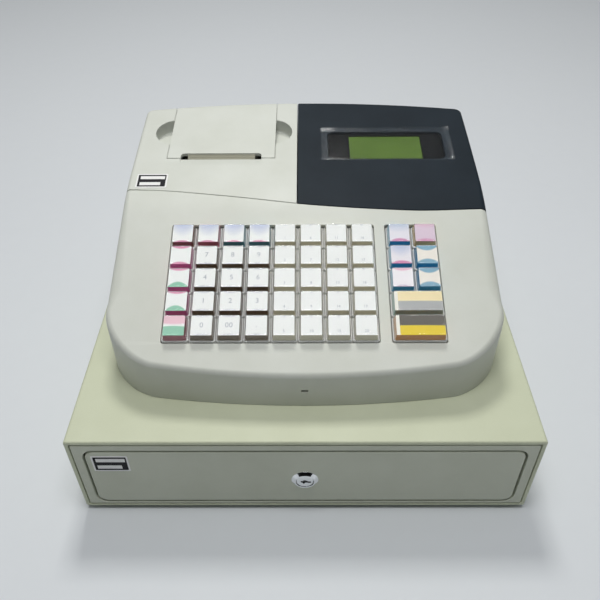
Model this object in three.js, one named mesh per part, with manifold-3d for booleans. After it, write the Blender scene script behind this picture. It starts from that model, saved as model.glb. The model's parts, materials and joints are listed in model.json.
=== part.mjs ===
// A cash register: keyboard, receipt printer and display in one case, standing on a steel cash drawer.
// Millimetres, +Z up, +Y towards the rear, +X to the right as the cashier sees it.
// The origin is on the floor, under the middle of the whole object.

import * as THREE from 'three';
import { mergeVertices } from 'three/addons/utils/BufferGeometryUtils.js';
import Module from 'manifold-3d';

const wasm = await Module();
wasm.setup();

// Clearances and overruns that many pieces share
const fitGap = 0.4; // round a piece that is set in another
const runGap = 0.3; // between a piece and what it slides or turns on
const seamGap = 0.5; // between neighbouring covers
const overrun = 6; // how far a cut goes past the face that it opens

// Drawer housing, the steel box
const drawerWidth = 332;
const drawerDepth = 346;
const drawerHeight = 78.8;
const housingSheet = 2;
const housingCorner = 2.4;
const hemThick = 1.2; // the sheet's folded edge round the front opening
const hemDepth = 3.2;
const footHeight = 4;
const footRadius = 9;
const footInset = 26; // from the housing's faces to a foot's centre
const footDraft = 1.5; // how much narrower a foot is where it stands

// Fixed frame and drawer panel at the front
const frameDepth = 6;
const frameGap = 0.8; // between the frame's face and the housing's folded edge
const panelSide = 12; // from the housing's side to the panel
const panelBase = 7.7; // from the housing's underside to the panel
const panelHead = 11.1; // from the panel to the housing's top
const panelCorner = 7;
const panelGap = 1.6;
const panelSheet = 2;
const panelDepth = 18;

// Sliding tray, its runners and its catch
const traySheet = 1.5;
const trayHeight = 48;
const latchRoom = 31.7; // behind the tray
const traySink = 2.2; // from the panel's lower edge up to the tray's floor
const runnerReach = 12;
const runnerSheet = 2;
const flangeReach = 5.3;
const runnerRise = 30; // from the tray's underside to its flange
const strikerWidth = 12;
const strikerReach = 9;
const strikerSheet = 3;
const latchWidth = 46;
const latchHeight = 30;
const latchJaw = 14;

// Cash insert with note bays at the rear and coin cups at the front
const insertHeight = 40;
const insertWall = 2;
const insertFloor = 2;
const noteLength = 168;
const noteCount = 4;
const coinRows = 2;
const coinCount = 4;
const bayCorner = 5;
const clipRodRadius = 2;
const clipRodInset = 9; // from the insert's rear face to the rod
const clipBarrelWall = 1.6;
const clipWidth = 16;
const clipLength = 78;
const clipThick = 2.2;
const clipPad = 10;

// Lock in the middle of the drawer panel
const lockRise = 34.6; // above the housing's underside
const lockRadius = 9.8;
const lockProud = 2;
const lockDish = 1.2;
const cylinderRadius = 6.2;
const keySlotLength = 8;
const keySlotWidth = 1.6;
const keySlotDepth = 4;
const camReach = 15;
const camWidth = 8;
const camThick = 2;

// Register case, placed by the distance behind the drawer's front
const caseFront = 32;
const caseRear = 303;
const caseHalfWidth = 144.2;
const caseRearHalfWidth = 141.9;
const caseWall = 2.5;
const caseCorner = 38;
const cornerPower = 1.8; // 2 is a round corner, less is flatter
const caseRearCorner = 6;
const frontBow = 14.3;
const rearBow = 11;
const frontRise = 31.4; // height of the sloping plate above the drawer at the front
const plateSlope = 20.7; // degrees
const bendStart = 158;
const bendLength = 24;
const rearSlope = 10; // degrees, just behind the bend
const endSlope = 7; // degrees, at the rear edge
const frontRound = 3;
const cornerRound = 4.5;
const sideRound = 12;
const rearRound = 3;
const fadeIn = 0.1; // share of the side over which its edge swells to sideRound
const fadeOut = 0.55; // share of the side by which it has thinned again
const edgeDrop = 5.5;
const standGap = 0.4; // covers stop this far above the drawer
const splitX = -5.6; // between the printer cover and the display hood
const seamShares = [
  [-1.1, 0.562],
  [-0.8, 0.555],
  [-0.43, 0.532],
  [-0.04, 0.503],
  [0.23, 0.489],
  [0.53, 0.479],
  [0.68, 0.4772],
  [0.85, 0.48],
  [1.1, 0.487],
];

// Base pan inside the covers
const panRise = 14;
const panWall = 2;
const panFloor = 2;
const ribThick = 2.5;
const ribInset = 24; // from the case's widest side to a rib
const standoffHeight = 7;
const standoffWidth = 8;

// Keyboard, in the sloping plate's own plane: across, up the slope, and out of the plate
const keyPitch = 19.3;
const keyRows = 5;
const numberColumns = 4;
const groupColumns = 4;
const keyGapShare = 0.464; // extra pitch in front of the right block
const keyTop = 8; // how far the key tops stand above the plate
const keyFace = 14.6;
const keyFaceLength = 15;
const keyBase = 18.5;
const keySkirt = 2.5; // how far the skirts reach below the plate
const keyCornerShare = 0.16;
const keyStem = 6;
const keyTravel = 3.5;
const keySlack = 1.5; // left under a key that is pressed down
const keyBoardX = -24.15; // middle of the eight main columns
const keyBoardY = 100.7; // middle row
const wellMargin = 0.4;
const wellRear = 3; // extra well behind the rear row
const guideThick = 2;
const guideBorder = 9;
const stemReach = 4; // below the guide plate
const bossWidth = 5;

// Receipt printer under its lid
const lidWidth = 90.7;
const lidCentreX = -69.65;
const lidFrontY = 222;
const lidTail = 10; // how far the lid wraps down behind
const lidLedge = 4;
const ledgeThick = 1.6;
const slotWidth = 67.7;
const slotDepth = 6.2;
const slotCorner = 3;
const rampLength = 7;
const rampDrop = 1.2;
const gripRadius = 17.2;
const gripInset = 3.4; // from the lid's side edge to the grip's centre
const gripY = 257.9;
const gripDepth = 9;
const gripWall = 1.8;
const hingeRadius = 3;
const hingePin = 1.3;
const hingeLength = 9;
const hingeInset = 20; // from the lid's side edges to a hinge
const rollRadius = 24;
const rollWidth = 57.5;
const rollCore = 6.5;
const rollY = 260;
const rollDrop = 28.5; // from the case's top down to the roll's centre
const cradleWall = 3;
const platenRadius = 6;
const platenPin = 2.4;
const platenY = 224;
const platenDrop = 13;
const printerTop = 6.5; // from the case's top down to the printer's tear bar
const printerFront = 205;

// Display in the hood, centred on the hood's own slope
const displayX = 69.5;
const displayY = 238.6;
const displayWidth = 98.4;
const displayLength = 36.4;
const displayCorner = 5;
const displayBorder = 4;
const displaySink = 3; // from the hood's face down to the liquid crystal module
const lensThick = 1.2;
const lensSink = 0.6;
const lensLedge = 1.5;
const moduleThick = 7;
const moduleRim = 1;
const moduleLip = 3;
const glassWidth = 61.4;
const glassLength = 30.8;

// Sockets at the rear and small details
const portX = 48;
const portWidth = 52;
const portHeight = 18;
const portRise = 8;
const portDepth = 16;
const powerRadius = 4;
const powerPin = 1.2;
const cableSocket = 11;
const portSink = 10;
const markWidth = 5;
const markHeight = 2.4;
const markRise = 15.4;

// Circuit board
const boardWidth = 130;
const boardLength = 88;
const boardThick = 1.6;
const boardRearInset = 20;
const boardMargin = 6; // from the printer to the board
const chipShares = [
  [-0.3, 0.2, 0.22, 0.2, 1],
  [0.05, -0.15, 0.14, 0.14, 0.8],
  [0.32, 0.22, 0.18, 0.26, 2.6],
  [-0.28, -0.3, 0.26, 0.12, 3.2],
];
const chipHeight = 2.5;

// Counts of facets
const roundFacets = 28;
const smallFacets = 12;
const cornerFacets = 3;
const frontSteps = 4;
const cornerSteps = 7;
const sideSteps = 16;
const rearCornerSteps = 4;
const rearSteps = 4;
const edgeSteps = 3;
const seamSteps = 28;

// Places that follow from the sizes
const housingTop = footHeight + drawerHeight;
const houseHalf = drawerWidth / 2 - housingSheet;
const hemHalf = houseHalf - hemThick;
const panelZ = footHeight + panelBase;
const panelWidth = drawerWidth - 2 * panelSide;
const panelHeight = drawerHeight - panelBase - panelHead;
const trayZ = panelZ + traySink;
const trayHalf = houseHalf - runnerReach - fitGap - traySheet;
const trayFront = panelDepth + runGap;
const trayRear = drawerDepth - latchRoom;
const caseBase = housingTop + standGap;
const plateZ = housingTop + frontRise;
const plateTan = Math.tan(THREE.MathUtils.degToRad(plateSlope));
const rearTan = Math.tan(THREE.MathUtils.degToRad(rearSlope));
const endTan = Math.tan(THREE.MathUtils.degToRad(endSlope));
const originY = (drawerDepth - lockProud) / 2;
const boardRearY = caseRear - rearBow - boardRearInset;
const boardX = lidCentreX + rollWidth / 2 + fitGap + cradleWall + boardMargin + boardWidth / 2;
const lockZ = footHeight + lockRise;

// Solids from geometries, and back again
function toSolid(geometry) {
  const bare = geometry.index ? geometry.toNonIndexed() : geometry.clone();
  bare.deleteAttribute('normal');
  bare.deleteAttribute('uv');
  const merged = mergeVertices(bare);
  return new wasm.Manifold(new wasm.Mesh({
    numProp: 3,
    vertProperties: new Float32Array(merged.attributes.position.array),
    triVerts: new Uint32Array(merged.index.array),
  }));
}

function toGeometry(solid) {
  const mesh = solid.getMesh();
  const geometry = new THREE.BufferGeometry();
  geometry.setAttribute('position', new THREE.BufferAttribute(mesh.vertProperties, 3));
  geometry.setIndex(new THREE.BufferAttribute(mesh.triVerts, 1));
  geometry.computeVertexNormals();
  return geometry;
}

function joined(first, ...others) {
  return others.reduce((solid, other) => solid.add(other), first);
}

function cut(first, ...others) {
  return others.reduce((solid, other) => solid.subtract(other), first);
}

// A block between two corners
function block(x0, x1, y0, y1, z0, z1) {
  const geometry = new THREE.BoxGeometry(x1 - x0, y1 - y0, z1 - z0);
  geometry.translate((x0 + x1) / 2, (y0 + y1) / 2, (z0 + z1) / 2);
  return toSolid(geometry);
}

// A rectangle with round corners, as a shape
function roundedShape(x0, x1, y0, y1, radius) {
  const r = Math.min(radius, (x1 - x0) / 2 - runGap, (y1 - y0) / 2 - runGap);
  const shape = new THREE.Shape();
  shape.absarc(x1 - r, y0 + r, r, -Math.PI / 2, 0);
  shape.absarc(x1 - r, y1 - r, r, 0, Math.PI / 2);
  shape.absarc(x0 + r, y1 - r, r, Math.PI / 2, Math.PI);
  shape.absarc(x0 + r, y0 + r, r, Math.PI, Math.PI * 1.5);
  shape.closePath();
  return shape;
}

function extruded(shape, height, facets = cornerFacets) {
  return new THREE.ExtrudeGeometry(shape, { depth: height, bevelEnabled: false, curveSegments: facets });
}

// A prism that stands on a plan outline, from z0 to z1
function upright(shape, z0, z1, facets) {
  const geometry = extruded(shape, z1 - z0, facets);
  geometry.translate(0, 0, z0);
  return toSolid(geometry);
}

// A prism whose outline is drawn in x and z, from y0 to y1
function frontal(shape, y0, y1, facets) {
  const geometry = extruded(shape, y1 - y0, facets);
  geometry.rotateX(Math.PI / 2);
  geometry.translate(0, y1, 0);
  return toSolid(geometry);
}

// A prism whose outline is drawn in y and z, from x0 to x1
function sideways(shape, x0, x1, facets) {
  const geometry = extruded(shape, x1 - x0, facets);
  geometry.rotateZ(Math.PI / 2);
  geometry.rotateY(Math.PI / 2);
  geometry.translate(x0, 0, 0);
  return toSolid(geometry);
}

function polygon(points) {
  return new THREE.Shape(points.map(([x, y]) => new THREE.Vector2(x, y)));
}

// Round bars along each axis, by their two ends
function barX(radius, x0, x1, y, z, facets = roundFacets) {
  const geometry = new THREE.CylinderGeometry(radius, radius, x1 - x0, facets);
  geometry.rotateZ(Math.PI / 2);
  geometry.translate((x0 + x1) / 2, y, z);
  return toSolid(geometry);
}

function barY(radius, y0, y1, x, z, facets = roundFacets) {
  const geometry = new THREE.CylinderGeometry(radius, radius, y1 - y0, facets);
  geometry.translate(x, (y0 + y1) / 2, z);
  return toSolid(geometry);
}

function barZ(radius, z0, z1, x, y, facets = roundFacets) {
  const geometry = new THREE.CylinderGeometry(radius, radius, z1 - z0, facets);
  geometry.rotateX(Math.PI / 2);
  geometry.translate(x, y, (z0 + z1) / 2);
  return toSolid(geometry);
}

// Height of the case's top at a distance behind the drawer's front: a steep plate for the keys,
// a short bend, and a rear part that flattens slowly.
function topHeight(y) {
  const start = Math.min(y, bendStart) - caseFront;
  let height = plateZ + plateTan * start;
  const inBend = THREE.MathUtils.clamp(y - bendStart, 0, bendLength);
  height += plateTan * inBend + (rearTan - plateTan) * inBend * inBend / (2 * bendLength);
  const rearLength = caseRear - bendStart - bendLength;
  const behind = Math.max(y - bendStart - bendLength, 0);
  return height + rearTan * behind + (endTan - rearTan) * behind * behind / (2 * rearLength);
}

// Slope of the rear part, as an angle
function topAngle(y) {
  const share = (y - bendStart - bendLength) / (caseRear - bendStart - bendLength);
  return Math.atan(THREE.MathUtils.lerp(rearTan, endTan, share));
}

// The case's plan outline bows out at the front and the rear
function bowed(x, y) {
  const share = (y - caseFront) / (caseRear - caseFront);
  const across = (x / caseHalfWidth) ** 2;
  return y + frontBow * across * (1 - share) - rearBow * across * share;
}

// Right half of the plan outline from front to rear, with the width of the rounded top edge
function caseOutline() {
  const samples = [];
  const add = (x, y, round) => samples.push({ x, y: bowed(x, y), round });
  const cornerX = caseHalfWidth - caseCorner;
  const cornerY = caseFront + caseCorner;
  for (let i = 0; i < frontSteps; i += 1) {
    add(cornerX * i / frontSteps, caseFront, frontRound);
  }
  for (let i = 0; i < cornerSteps; i += 1) {
    const angle = Math.PI / 2 * i / cornerSteps;
    const round = THREE.MathUtils.lerp(frontRound, cornerRound, i / cornerSteps);
    add(
      cornerX + caseCorner * Math.sin(angle) ** (2 / cornerPower),
      cornerY - caseCorner * Math.cos(angle) ** (2 / cornerPower),
      round,
    );
  }
  const rearX = caseRearHalfWidth - caseRearCorner;
  const rearY = caseRear - caseRearCorner;
  const endRound = Math.min(1.3 * rearRound, caseRearCorner / 2);
  for (let i = 0; i < sideSteps; i += 1) {
    const share = i / sideSteps;
    const swelling = THREE.MathUtils.lerp(cornerRound, sideRound, Math.min(1, share / fadeIn));
    const thinning = THREE.MathUtils.lerp(sideRound, endRound, Math.min(1, share / fadeOut));
    add(
      THREE.MathUtils.lerp(caseHalfWidth, caseRearHalfWidth, share),
      THREE.MathUtils.lerp(cornerY, rearY, share),
      Math.min(swelling, thinning),
    );
  }
  for (let i = 0; i < rearCornerSteps; i += 1) {
    const angle = Math.PI / 2 * i / rearCornerSteps;
    const round = THREE.MathUtils.lerp(endRound, rearRound, i / rearCornerSteps);
    add(rearX + caseRearCorner * Math.cos(angle), rearY + caseRearCorner * Math.sin(angle), round);
  }
  for (let i = 0; i <= rearSteps; i += 1) {
    add(rearX * (1 - i / rearSteps), caseRear, rearRound);
  }
  return samples;
}

// Each sample gets the direction into the case, scaled so that an offset keeps its distance
function withInward(samples) {
  const mirror = (sample) => ({ ...sample, x: -sample.x });
  return samples.map((sample, i) => {
    const before = samples[i - 1] ?? mirror(samples[1]);
    const after = samples[i + 1] ?? mirror(samples[samples.length - 2]);
    const first = new THREE.Vector2(before.y - sample.y, sample.x - before.x).normalize();
    const second = new THREE.Vector2(sample.y - after.y, after.x - sample.x).normalize();
    const inward = first.clone().add(second).normalize();
    return { ...sample, inward: inward.divideScalar(inward.dot(first)) };
  });
}

const caseSamples = withInward(caseOutline());

// The case's outer form, drawn in by an inset and standing on z0
function caseBody(inset, z0) {
  const rings = [];
  const addRing = (heightAt, insetAt) => rings.push(caseSamples.map((sample) => {
    const depth = insetAt(sample);
    const x = sample.x + sample.inward.x * depth;
    const y = sample.y + sample.inward.y * depth;
    return new THREE.Vector3(x, y, heightAt(y, sample));
  }));
  addRing(() => z0, () => inset);
  for (let i = 0; i <= edgeSteps; i += 1) {
    const angle = Math.PI / 2 * i / edgeSteps;
    const fall = 1 - Math.sin(angle);
    const reach = 1 - Math.cos(angle);
    addRing(
      (y, sample) => topHeight(y) - inset - Math.max(Math.min(edgeDrop, sample.round) - inset, runGap) * fall,
      (sample) => inset + Math.max(sample.round - inset, runGap) * reach,
    );
  }
  return ringSolid(rings);
}

// A closed solid from stacked half rings, which are mirrored to the left
function ringSolid(rings) {
  const half = rings[0].length;
  const around = 2 * half - 2;
  const positions = [];
  for (const ring of rings) {
    for (let i = 0; i < around; i += 1) {
      const left = i >= half;
      const point = ring[left ? around - i : i];
      positions.push(left ? -point.x : point.x, point.y, point.z);
    }
  }
  const index = [];
  for (let level = 0; level < rings.length - 1; level += 1) {
    for (let i = 0; i < around; i += 1) {
      const a = level * around + i;
      const b = level * around + (i + 1) % around;
      index.push(a, b, b + around, a, b + around, a + around);
    }
  }
  const top = (rings.length - 1) * around;
  for (let i = 0; i < half - 1; i += 1) {
    const right = i;
    const rightNext = i + 1;
    const left = (around - i) % around;
    const leftNext = around - i - 1;
    if (right !== left) {
      index.push(top + right, top + rightNext, top + left);
      index.push(left, rightNext, right);
    }
    if (rightNext !== leftNext) {
      index.push(top + rightNext, top + leftNext, top + left);
      index.push(left, leftNext, rightNext);
    }
  }
  const geometry = new THREE.BufferGeometry();
  geometry.setAttribute('position', new THREE.BufferAttribute(new Float32Array(positions), 3));
  geometry.setIndex(index);
  return toSolid(geometry);
}

// The wavy parting line across the case, as plan points
function seamLine(shift) {
  const curve = new THREE.SplineCurve(seamShares.map(([xShare, yShare]) => new THREE.Vector2(
    xShare * caseHalfWidth,
    THREE.MathUtils.lerp(caseFront, caseRear, yShare),
  )));
  return curve.getPoints(seamSteps).map((point) => [point.x, point.y + shift]);
}

const seamEnd = seamShares.at(-1)[0] * caseHalfWidth;
const skyZ = topHeight(caseRear) + 4 * overrun;

function frontRegion() {
  const line = seamLine(-seamGap / 2);
  const front = caseFront - overrun;
  const outline = polygon([[-seamEnd, front], [seamEnd, front], ...line.reverse()]);
  return upright(outline, housingTop - overrun, skyZ);
}

function rearRegion(x0, x1) {
  const line = seamLine(seamGap / 2);
  const rear = caseRear + 2 * overrun;
  const behind = upright(polygon([...line, [seamEnd, rear], [-seamEnd, rear]]), housingTop - overrun, skyZ);
  const strip = block(x0, x1, caseFront, rear + overrun, housingTop - overrun, skyZ);
  return behind.intersect(strip);
}

function caseShell() {
  return caseBody(0, caseBase).subtract(caseBody(caseWall, caseBase - overrun));
}

// The keyboard's plane, with its origin in the middle of the key field's middle row
const keyPlane = new THREE.Group();
keyPlane.position.set(0, keyBoardY, plateZ + plateTan * (keyBoardY - caseFront));
keyPlane.rotation.x = THREE.MathUtils.degToRad(plateSlope);
keyPlane.updateMatrix();

// The display's plane, on the hood
const displayPlane = new THREE.Group();
displayPlane.position.set(displayX, displayY, topHeight(displayY));
displayPlane.rotation.x = topAngle(displayY);
displayPlane.updateMatrix();

// Moves a solid made in a plane's own directions to where it cuts the case
function inPlane(solid, plane) {
  const geometry = toGeometry(solid);
  geometry.applyMatrix4(plane.matrix);
  return toSolid(geometry);
}

const rowV = (row) => ((keyRows - 1) / 2 - row) * keyPitch;
const columnX = (column) => {
  const middle = (numberColumns + groupColumns - 1) / 2;
  const past = column >= numberColumns + groupColumns ? keyGapShare * keyPitch : 0;
  return keyBoardX + (column - middle) * keyPitch + past;
};
const mainLeft = columnX(0) - keyPitch / 2 - wellMargin;
const mainRight = columnX(numberColumns + groupColumns - 1) + keyPitch / 2 + wellMargin;
const sideLeft = columnX(numberColumns + groupColumns) - keyPitch / 2 - wellMargin;
const sideRight = sideLeft + 2 * keyPitch + 2 * wellMargin;
const wellFrontV = rowV(keyRows - 1) - keyPitch / 2 - wellMargin;
const wellRearV = rowV(0) + keyPitch / 2 + wellRear;
const guideTop = -(keySkirt + keyTravel + keySlack);
const guideLow = guideTop - guideThick;
const stemLow = guideLow - stemReach;
const guideLeft = mainLeft - guideBorder;
const guideRight = sideRight + guideBorder;
const guideFrontV = wellFrontV - guideBorder / 2;
const guideRearV = wellRearV + guideBorder / 2;

// Front cover with the two key wells, and bosses that hold the guide plate
function keyboardCover() {
  const wells = joined(
    block(mainLeft, mainRight, wellFrontV, wellRearV, -overrun, overrun),
    block(sideLeft, sideRight, wellFrontV, wellRearV, -overrun, overrun),
  );
  let cover = caseShell().intersect(frontRegion()).subtract(inPlane(wells, keyPlane));
  for (const x of [mainLeft - guideBorder / 2, sideRight + guideBorder / 2]) {
    for (const v of [wellFrontV + guideBorder, wellRearV - guideBorder]) {
      const boss = block(
        x - bossWidth / 2, x + bossWidth / 2, v - bossWidth / 2, v + bossWidth / 2,
        guideTop + runGap, -caseWall / 2,
      );
      cover = cover.add(inPlane(boss, keyPlane));
    }
  }
  const markZ = caseBase + markRise;
  return cover.subtract(block(
    -markWidth / 2, markWidth / 2, caseFront - overrun, caseFront + overrun,
    markZ - markHeight / 2, markZ + markHeight / 2,
  ));
}

// Plate that guides the key stems
function keyFrame() {
  let plate = block(guideLeft, guideRight, guideFrontV, guideRearV, guideLow, guideTop);
  const hole = keyStem / 2 + fitGap;
  for (let row = 0; row < keyRows; row += 1) {
    for (let column = 0; column < numberColumns + groupColumns + 2; column += 1) {
      const wide = column >= numberColumns + groupColumns && row >= keyRows - 2;
      const last = column === numberColumns + groupColumns + 1;
      if (!(wide && last)) {
        const x = columnX(column) + (wide ? keyPitch / 2 : 0);
        const v = rowV(row);
        plate = plate.subtract(block(
          x - hole, x + hole, v - hole, v + hole, guideLow - overrun, guideTop + overrun,
        ));
      }
    }
  }
  return plate;
}

// One key cap with its stem: a stack of eight-sided rings
function keyCap(units, x, v) {
  const extra = (units - 1) * keyPitch;
  const levels = [
    [keyStem, keyStem, stemLow],
    [keyStem, keyStem, -keySkirt],
    [keyBase + extra, keyBase, -keySkirt],
    [keyFace + extra, keyFaceLength, keyTop],
  ];
  const corner = (size) => Math.min(size * keyCornerShare, keyBase * keyCornerShare);
  const positions = [];
  for (const [width, length, w] of levels) {
    const c = corner(Math.min(width, length));
    const a = width / 2;
    const b = length / 2;
    const right = [[a - c, -b], [a, c - b], [a, b - c], [a - c, b]];
    const left = right.map(([dx, dv]) => [-dx, -dv]);
    for (const [dx, dv] of [...right, ...left]) {
      positions.push(x + dx, v + dv, w);
    }
  }
  const sides = 8;
  const index = [];
  for (let level = 0; level < levels.length - 1; level += 1) {
    for (let i = 0; i < sides; i += 1) {
      const a = level * sides + i;
      const b = level * sides + (i + 1) % sides;
      index.push(a, b, b + sides, a, b + sides, a + sides);
    }
  }
  const top = (levels.length - 1) * sides;
  for (let i = 1; i < sides - 1; i += 1) {
    index.push(0, i + 1, i, top, top + i, top + i + 1);
  }
  const geometry = new THREE.BufferGeometry();
  geometry.setAttribute('position', new THREE.BufferAttribute(new Float32Array(positions), 3));
  geometry.setIndex(index);
  return toSolid(geometry);
}

// A column of caps on one bar, which go down together
function keyColumn(column) {
  const x = columnX(column);
  let solid = block(
    x - keyStem / 2, x + keyStem / 2, rowV(keyRows - 1), rowV(0), -keySkirt, 0,
  );
  for (let row = 0; row < keyRows; row += 1) {
    solid = solid.add(keyCap(1, x, rowV(row)));
  }
  return solid;
}

const lidLeft = lidCentreX - lidWidth / 2;
const lidRight = lidCentreX + lidWidth / 2;
const lidLowZ = topHeight(caseRear) - lidTail;
const lidTailY = bowed(lidLeft, caseRear) - 2 * caseWall - ledgeThick;

// The space that the lid fills, grown by a margin: open above and behind, down to its tail at the rear
function lidZone(margin) {
  const low = topHeight(lidFrontY) - 2 * gripDepth;
  return sideways(polygon([
    [lidFrontY - margin, low],
    [lidTailY, low],
    [lidTailY, lidLowZ - margin],
    [caseRear + 2 * overrun, lidLowZ - margin],
    [caseRear + 2 * overrun, skyZ],
    [lidFrontY - margin, skyZ],
  ]), lidLeft - margin, lidRight + margin);
}
const hingeY = bowed(0, caseRear) + hingeRadius + fitGap;
const hingeX = [lidLeft + hingeInset, lidRight - hingeInset];

// Printer cover: rear left, with the lid's seat, the finger grips and the paper ramp
function printerCover() {
  let cover = caseShell().intersect(rearRegion(-seamEnd, splitX - seamGap / 2));
  const gripX = [lidLeft + gripInset, lidRight - gripInset];
  const gripFloor = topHeight(gripY) - gripDepth;
  const inner = caseBody(caseWall / 2, caseBase);
  for (const x of gripX) {
    const cup = barZ(gripRadius + gripWall, gripFloor - gripWall, skyZ, x, gripY);
    cover = cover.add(cup.intersect(inner));
  }
  const seat = caseWall + runGap;
  const ledge = inner.subtract(caseBody(seat + ledgeThick, caseBase - overrun));
  cover = cover.add(ledge.intersect(lidZone(lidLedge)));
  const lidSlot = lidZone(0).subtract(caseBody(seat, caseBase));
  const mouth = block(
    lidLeft + lidLedge, lidRight - lidLedge, lidFrontY + lidLedge,
    lidTailY, topHeight(lidFrontY) - 3 * gripDepth, skyZ,
  );
  cover = cut(cover, lidSlot, mouth);
  for (const x of gripX) {
    cover = cover.subtract(barZ(gripRadius, gripFloor, skyZ, x, gripY));
  }
  const paperGate = block(
    lidCentreX - slotWidth / 2 + slotCorner, lidCentreX + slotWidth / 2 - slotCorner,
    lidFrontY - runGap, lidFrontY + lidLedge + overrun, topHeight(lidFrontY) - 3 * gripDepth, skyZ,
  );
  const rampTop = topHeight(lidFrontY);
  const ramp = sideways(polygon([
    [lidFrontY - rampLength, topHeight(lidFrontY - rampLength)],
    [lidFrontY + runGap, rampTop - rampDrop],
    [lidFrontY + runGap, rampTop + overrun],
    [lidFrontY - rampLength, rampTop + overrun],
  ]), lidCentreX - slotWidth / 2, lidCentreX + slotWidth / 2);
  cover = cut(cover, paperGate, ramp);
  return joined(cover, ...hingeX.map((x) => coverKnuckle(x)));
}

// The cover's half of a hinge: a knuckle with a pin that points towards the lid's middle
function coverKnuckle(x) {
  const side = x < lidCentreX ? 1 : -1;
  const near = x + side * hingeLength;
  const wallY = bowed(x, caseRear) - caseWall / 2;
  const arm = block(
    Math.min(x, near), Math.max(x, near), wallY, hingeY,
    lidLowZ - hingeRadius, lidLowZ - fitGap,
  );
  const barrel = barX(hingeRadius, Math.min(x, near), Math.max(x, near), hingeY, lidLowZ, smallFacets);
  const tip = x - side * (hingeLength + fitGap);
  const pin = barX(hingePin, Math.min(tip, near), Math.max(tip, near), hingeY, lidLowZ, smallFacets);
  return joined(arm, barrel, pin);
}

// Paper lid, hinged at the rear, with the paper slot in its front edge
function paperLid() {
  const plate = caseBody(0, caseBase).subtract(caseBody(caseWall, caseBase - overrun))
    .intersect(lidZone(-fitGap));
  const slot = upright(roundedShape(
    lidCentreX - slotWidth / 2, lidCentreX + slotWidth / 2,
    lidFrontY - slotDepth, lidFrontY + slotDepth, slotCorner,
  ), housingTop, skyZ);
  let lid = plate.subtract(slot);
  for (const x of hingeX) {
    const side = x < lidCentreX ? -1 : 1;
    const far = x + side * hingeLength;
    const x0 = Math.min(x, far) + (side < 0 ? 0 : fitGap);
    const x1 = Math.max(x, far) - (side < 0 ? fitGap : 0);
    const wallY = bowed(x, caseRear) - caseWall / 2;
    const arm = block(x0, x1, wallY, hingeY, lidLowZ + fitGap, lidLowZ + hingeRadius);
    lid = joined(lid, arm, barX(hingeRadius, x0, x1, hingeY, lidLowZ, smallFacets));
    lid = lid.subtract(barX(hingePin + fitGap, x0 - overrun, x1 + overrun, hingeY, lidLowZ, smallFacets));
  }
  return lid;
}

// Display hood: rear right, with the window opening and a frame behind it
function displayHood() {
  const shell = caseShell().intersect(rearRegion(splitX + seamGap / 2, seamEnd));
  const w = displayWidth / 2;
  const l = displayLength / 2;
  const border = displayBorder;
  const frame = block(-w - border, w + border, -l - border, l + border, -displaySink, -caseWall / 2);
  const opening = upright(roundedShape(-w, w, -l, l, displayCorner), -overrun - displaySink, overrun);
  const hood = shell.add(inPlane(frame, displayPlane));
  return cut(hood, inPlane(opening, displayPlane), portWindow());
}

// Clear window set in the hood's opening
function displayWindow() {
  const w = displayWidth / 2 - fitGap;
  const l = displayLength / 2 - fitGap;
  return upright(roundedShape(-w, w, -l, l, displayCorner - fitGap), -lensSink - lensThick, -lensSink);
}

// Liquid crystal module: a black bezel with a raised rim under the window, and its glass set in
function displayModule() {
  const w = displayWidth / 2 + displayBorder;
  const l = displayLength / 2 + displayBorder;
  const top = -displaySink - runGap;
  const body = block(-w, w, -l, l, top - moduleThick, top);
  const rise = block(
    -displayWidth / 2 + lensLedge, displayWidth / 2 - lensLedge,
    -displayLength / 2 + lensLedge, displayLength / 2 - lensLedge, top - moduleRim, top + moduleRim,
  );
  const glass = block(
    -glassWidth / 2, glassWidth / 2, -glassLength / 2, glassLength / 2,
    top + moduleRim / 2, top + overrun,
  );
  const lip = block(
    -displayWidth / 2 + moduleLip, displayWidth / 2 - moduleLip, -l - fitGap, l + fitGap,
    top - moduleThick - overrun, top - moduleThick + moduleRim,
  );
  return joined(body, rise).subtract(glass).subtract(lip);
}

// Housing: a folded steel box, open in front, with a runner channel welded inside each side
function drawerHousing() {
  const half = drawerWidth / 2;
  const shape = roundedShape(-half, half, footHeight, housingTop, housingCorner);
  const inside = block(
    -houseHalf, houseHalf, hemDepth, drawerDepth - housingSheet,
    footHeight + housingSheet, housingTop - housingSheet,
  );
  const mouth = block(
    -hemHalf, hemHalf, -overrun, hemDepth + overrun,
    footHeight + housingSheet + hemThick, housingTop - housingSheet - hemThick,
  );
  let housing = frontal(shape, 0, drawerDepth).subtract(inside).subtract(mouth);
  const flangeZ = trayZ + runnerRise;
  for (const side of [-1, 1]) {
    for (const z of [flangeZ - runGap - runnerSheet, flangeZ + traySheet + fitGap]) {
      const inner = side * (houseHalf - runnerReach);
      const outer = side * (houseHalf + housingSheet / 2);
      housing = housing.add(block(
        Math.min(inner, outer), Math.max(inner, outer),
        panelDepth + fitGap, drawerDepth - housingSheet / 2, z, z + runnerSheet,
      ));
    }
  }
  return housing;
}

// Fixed frame round the drawer panel
function frontFrame() {
  const half = houseHalf - fitGap;
  const low = footHeight + housingSheet + fitGap;
  const high = housingTop - housingSheet - fitGap;
  const back = block(-half, half, hemDepth + fitGap, frameDepth, low, high);
  const inset = hemThick + frameGap - fitGap;
  const face = block(-half + inset, half - inset, 0, frameDepth, low + inset, high - inset);
  const plate = face.add(back);
  const edge = panelWidth / 2 + panelGap;
  const opening = frontal(roundedShape(
    -edge, edge, panelZ - panelGap, panelZ + panelHeight + panelGap, panelCorner + panelGap,
  ), -overrun, frameDepth + overrun);
  return plate.subtract(opening);
}

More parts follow.
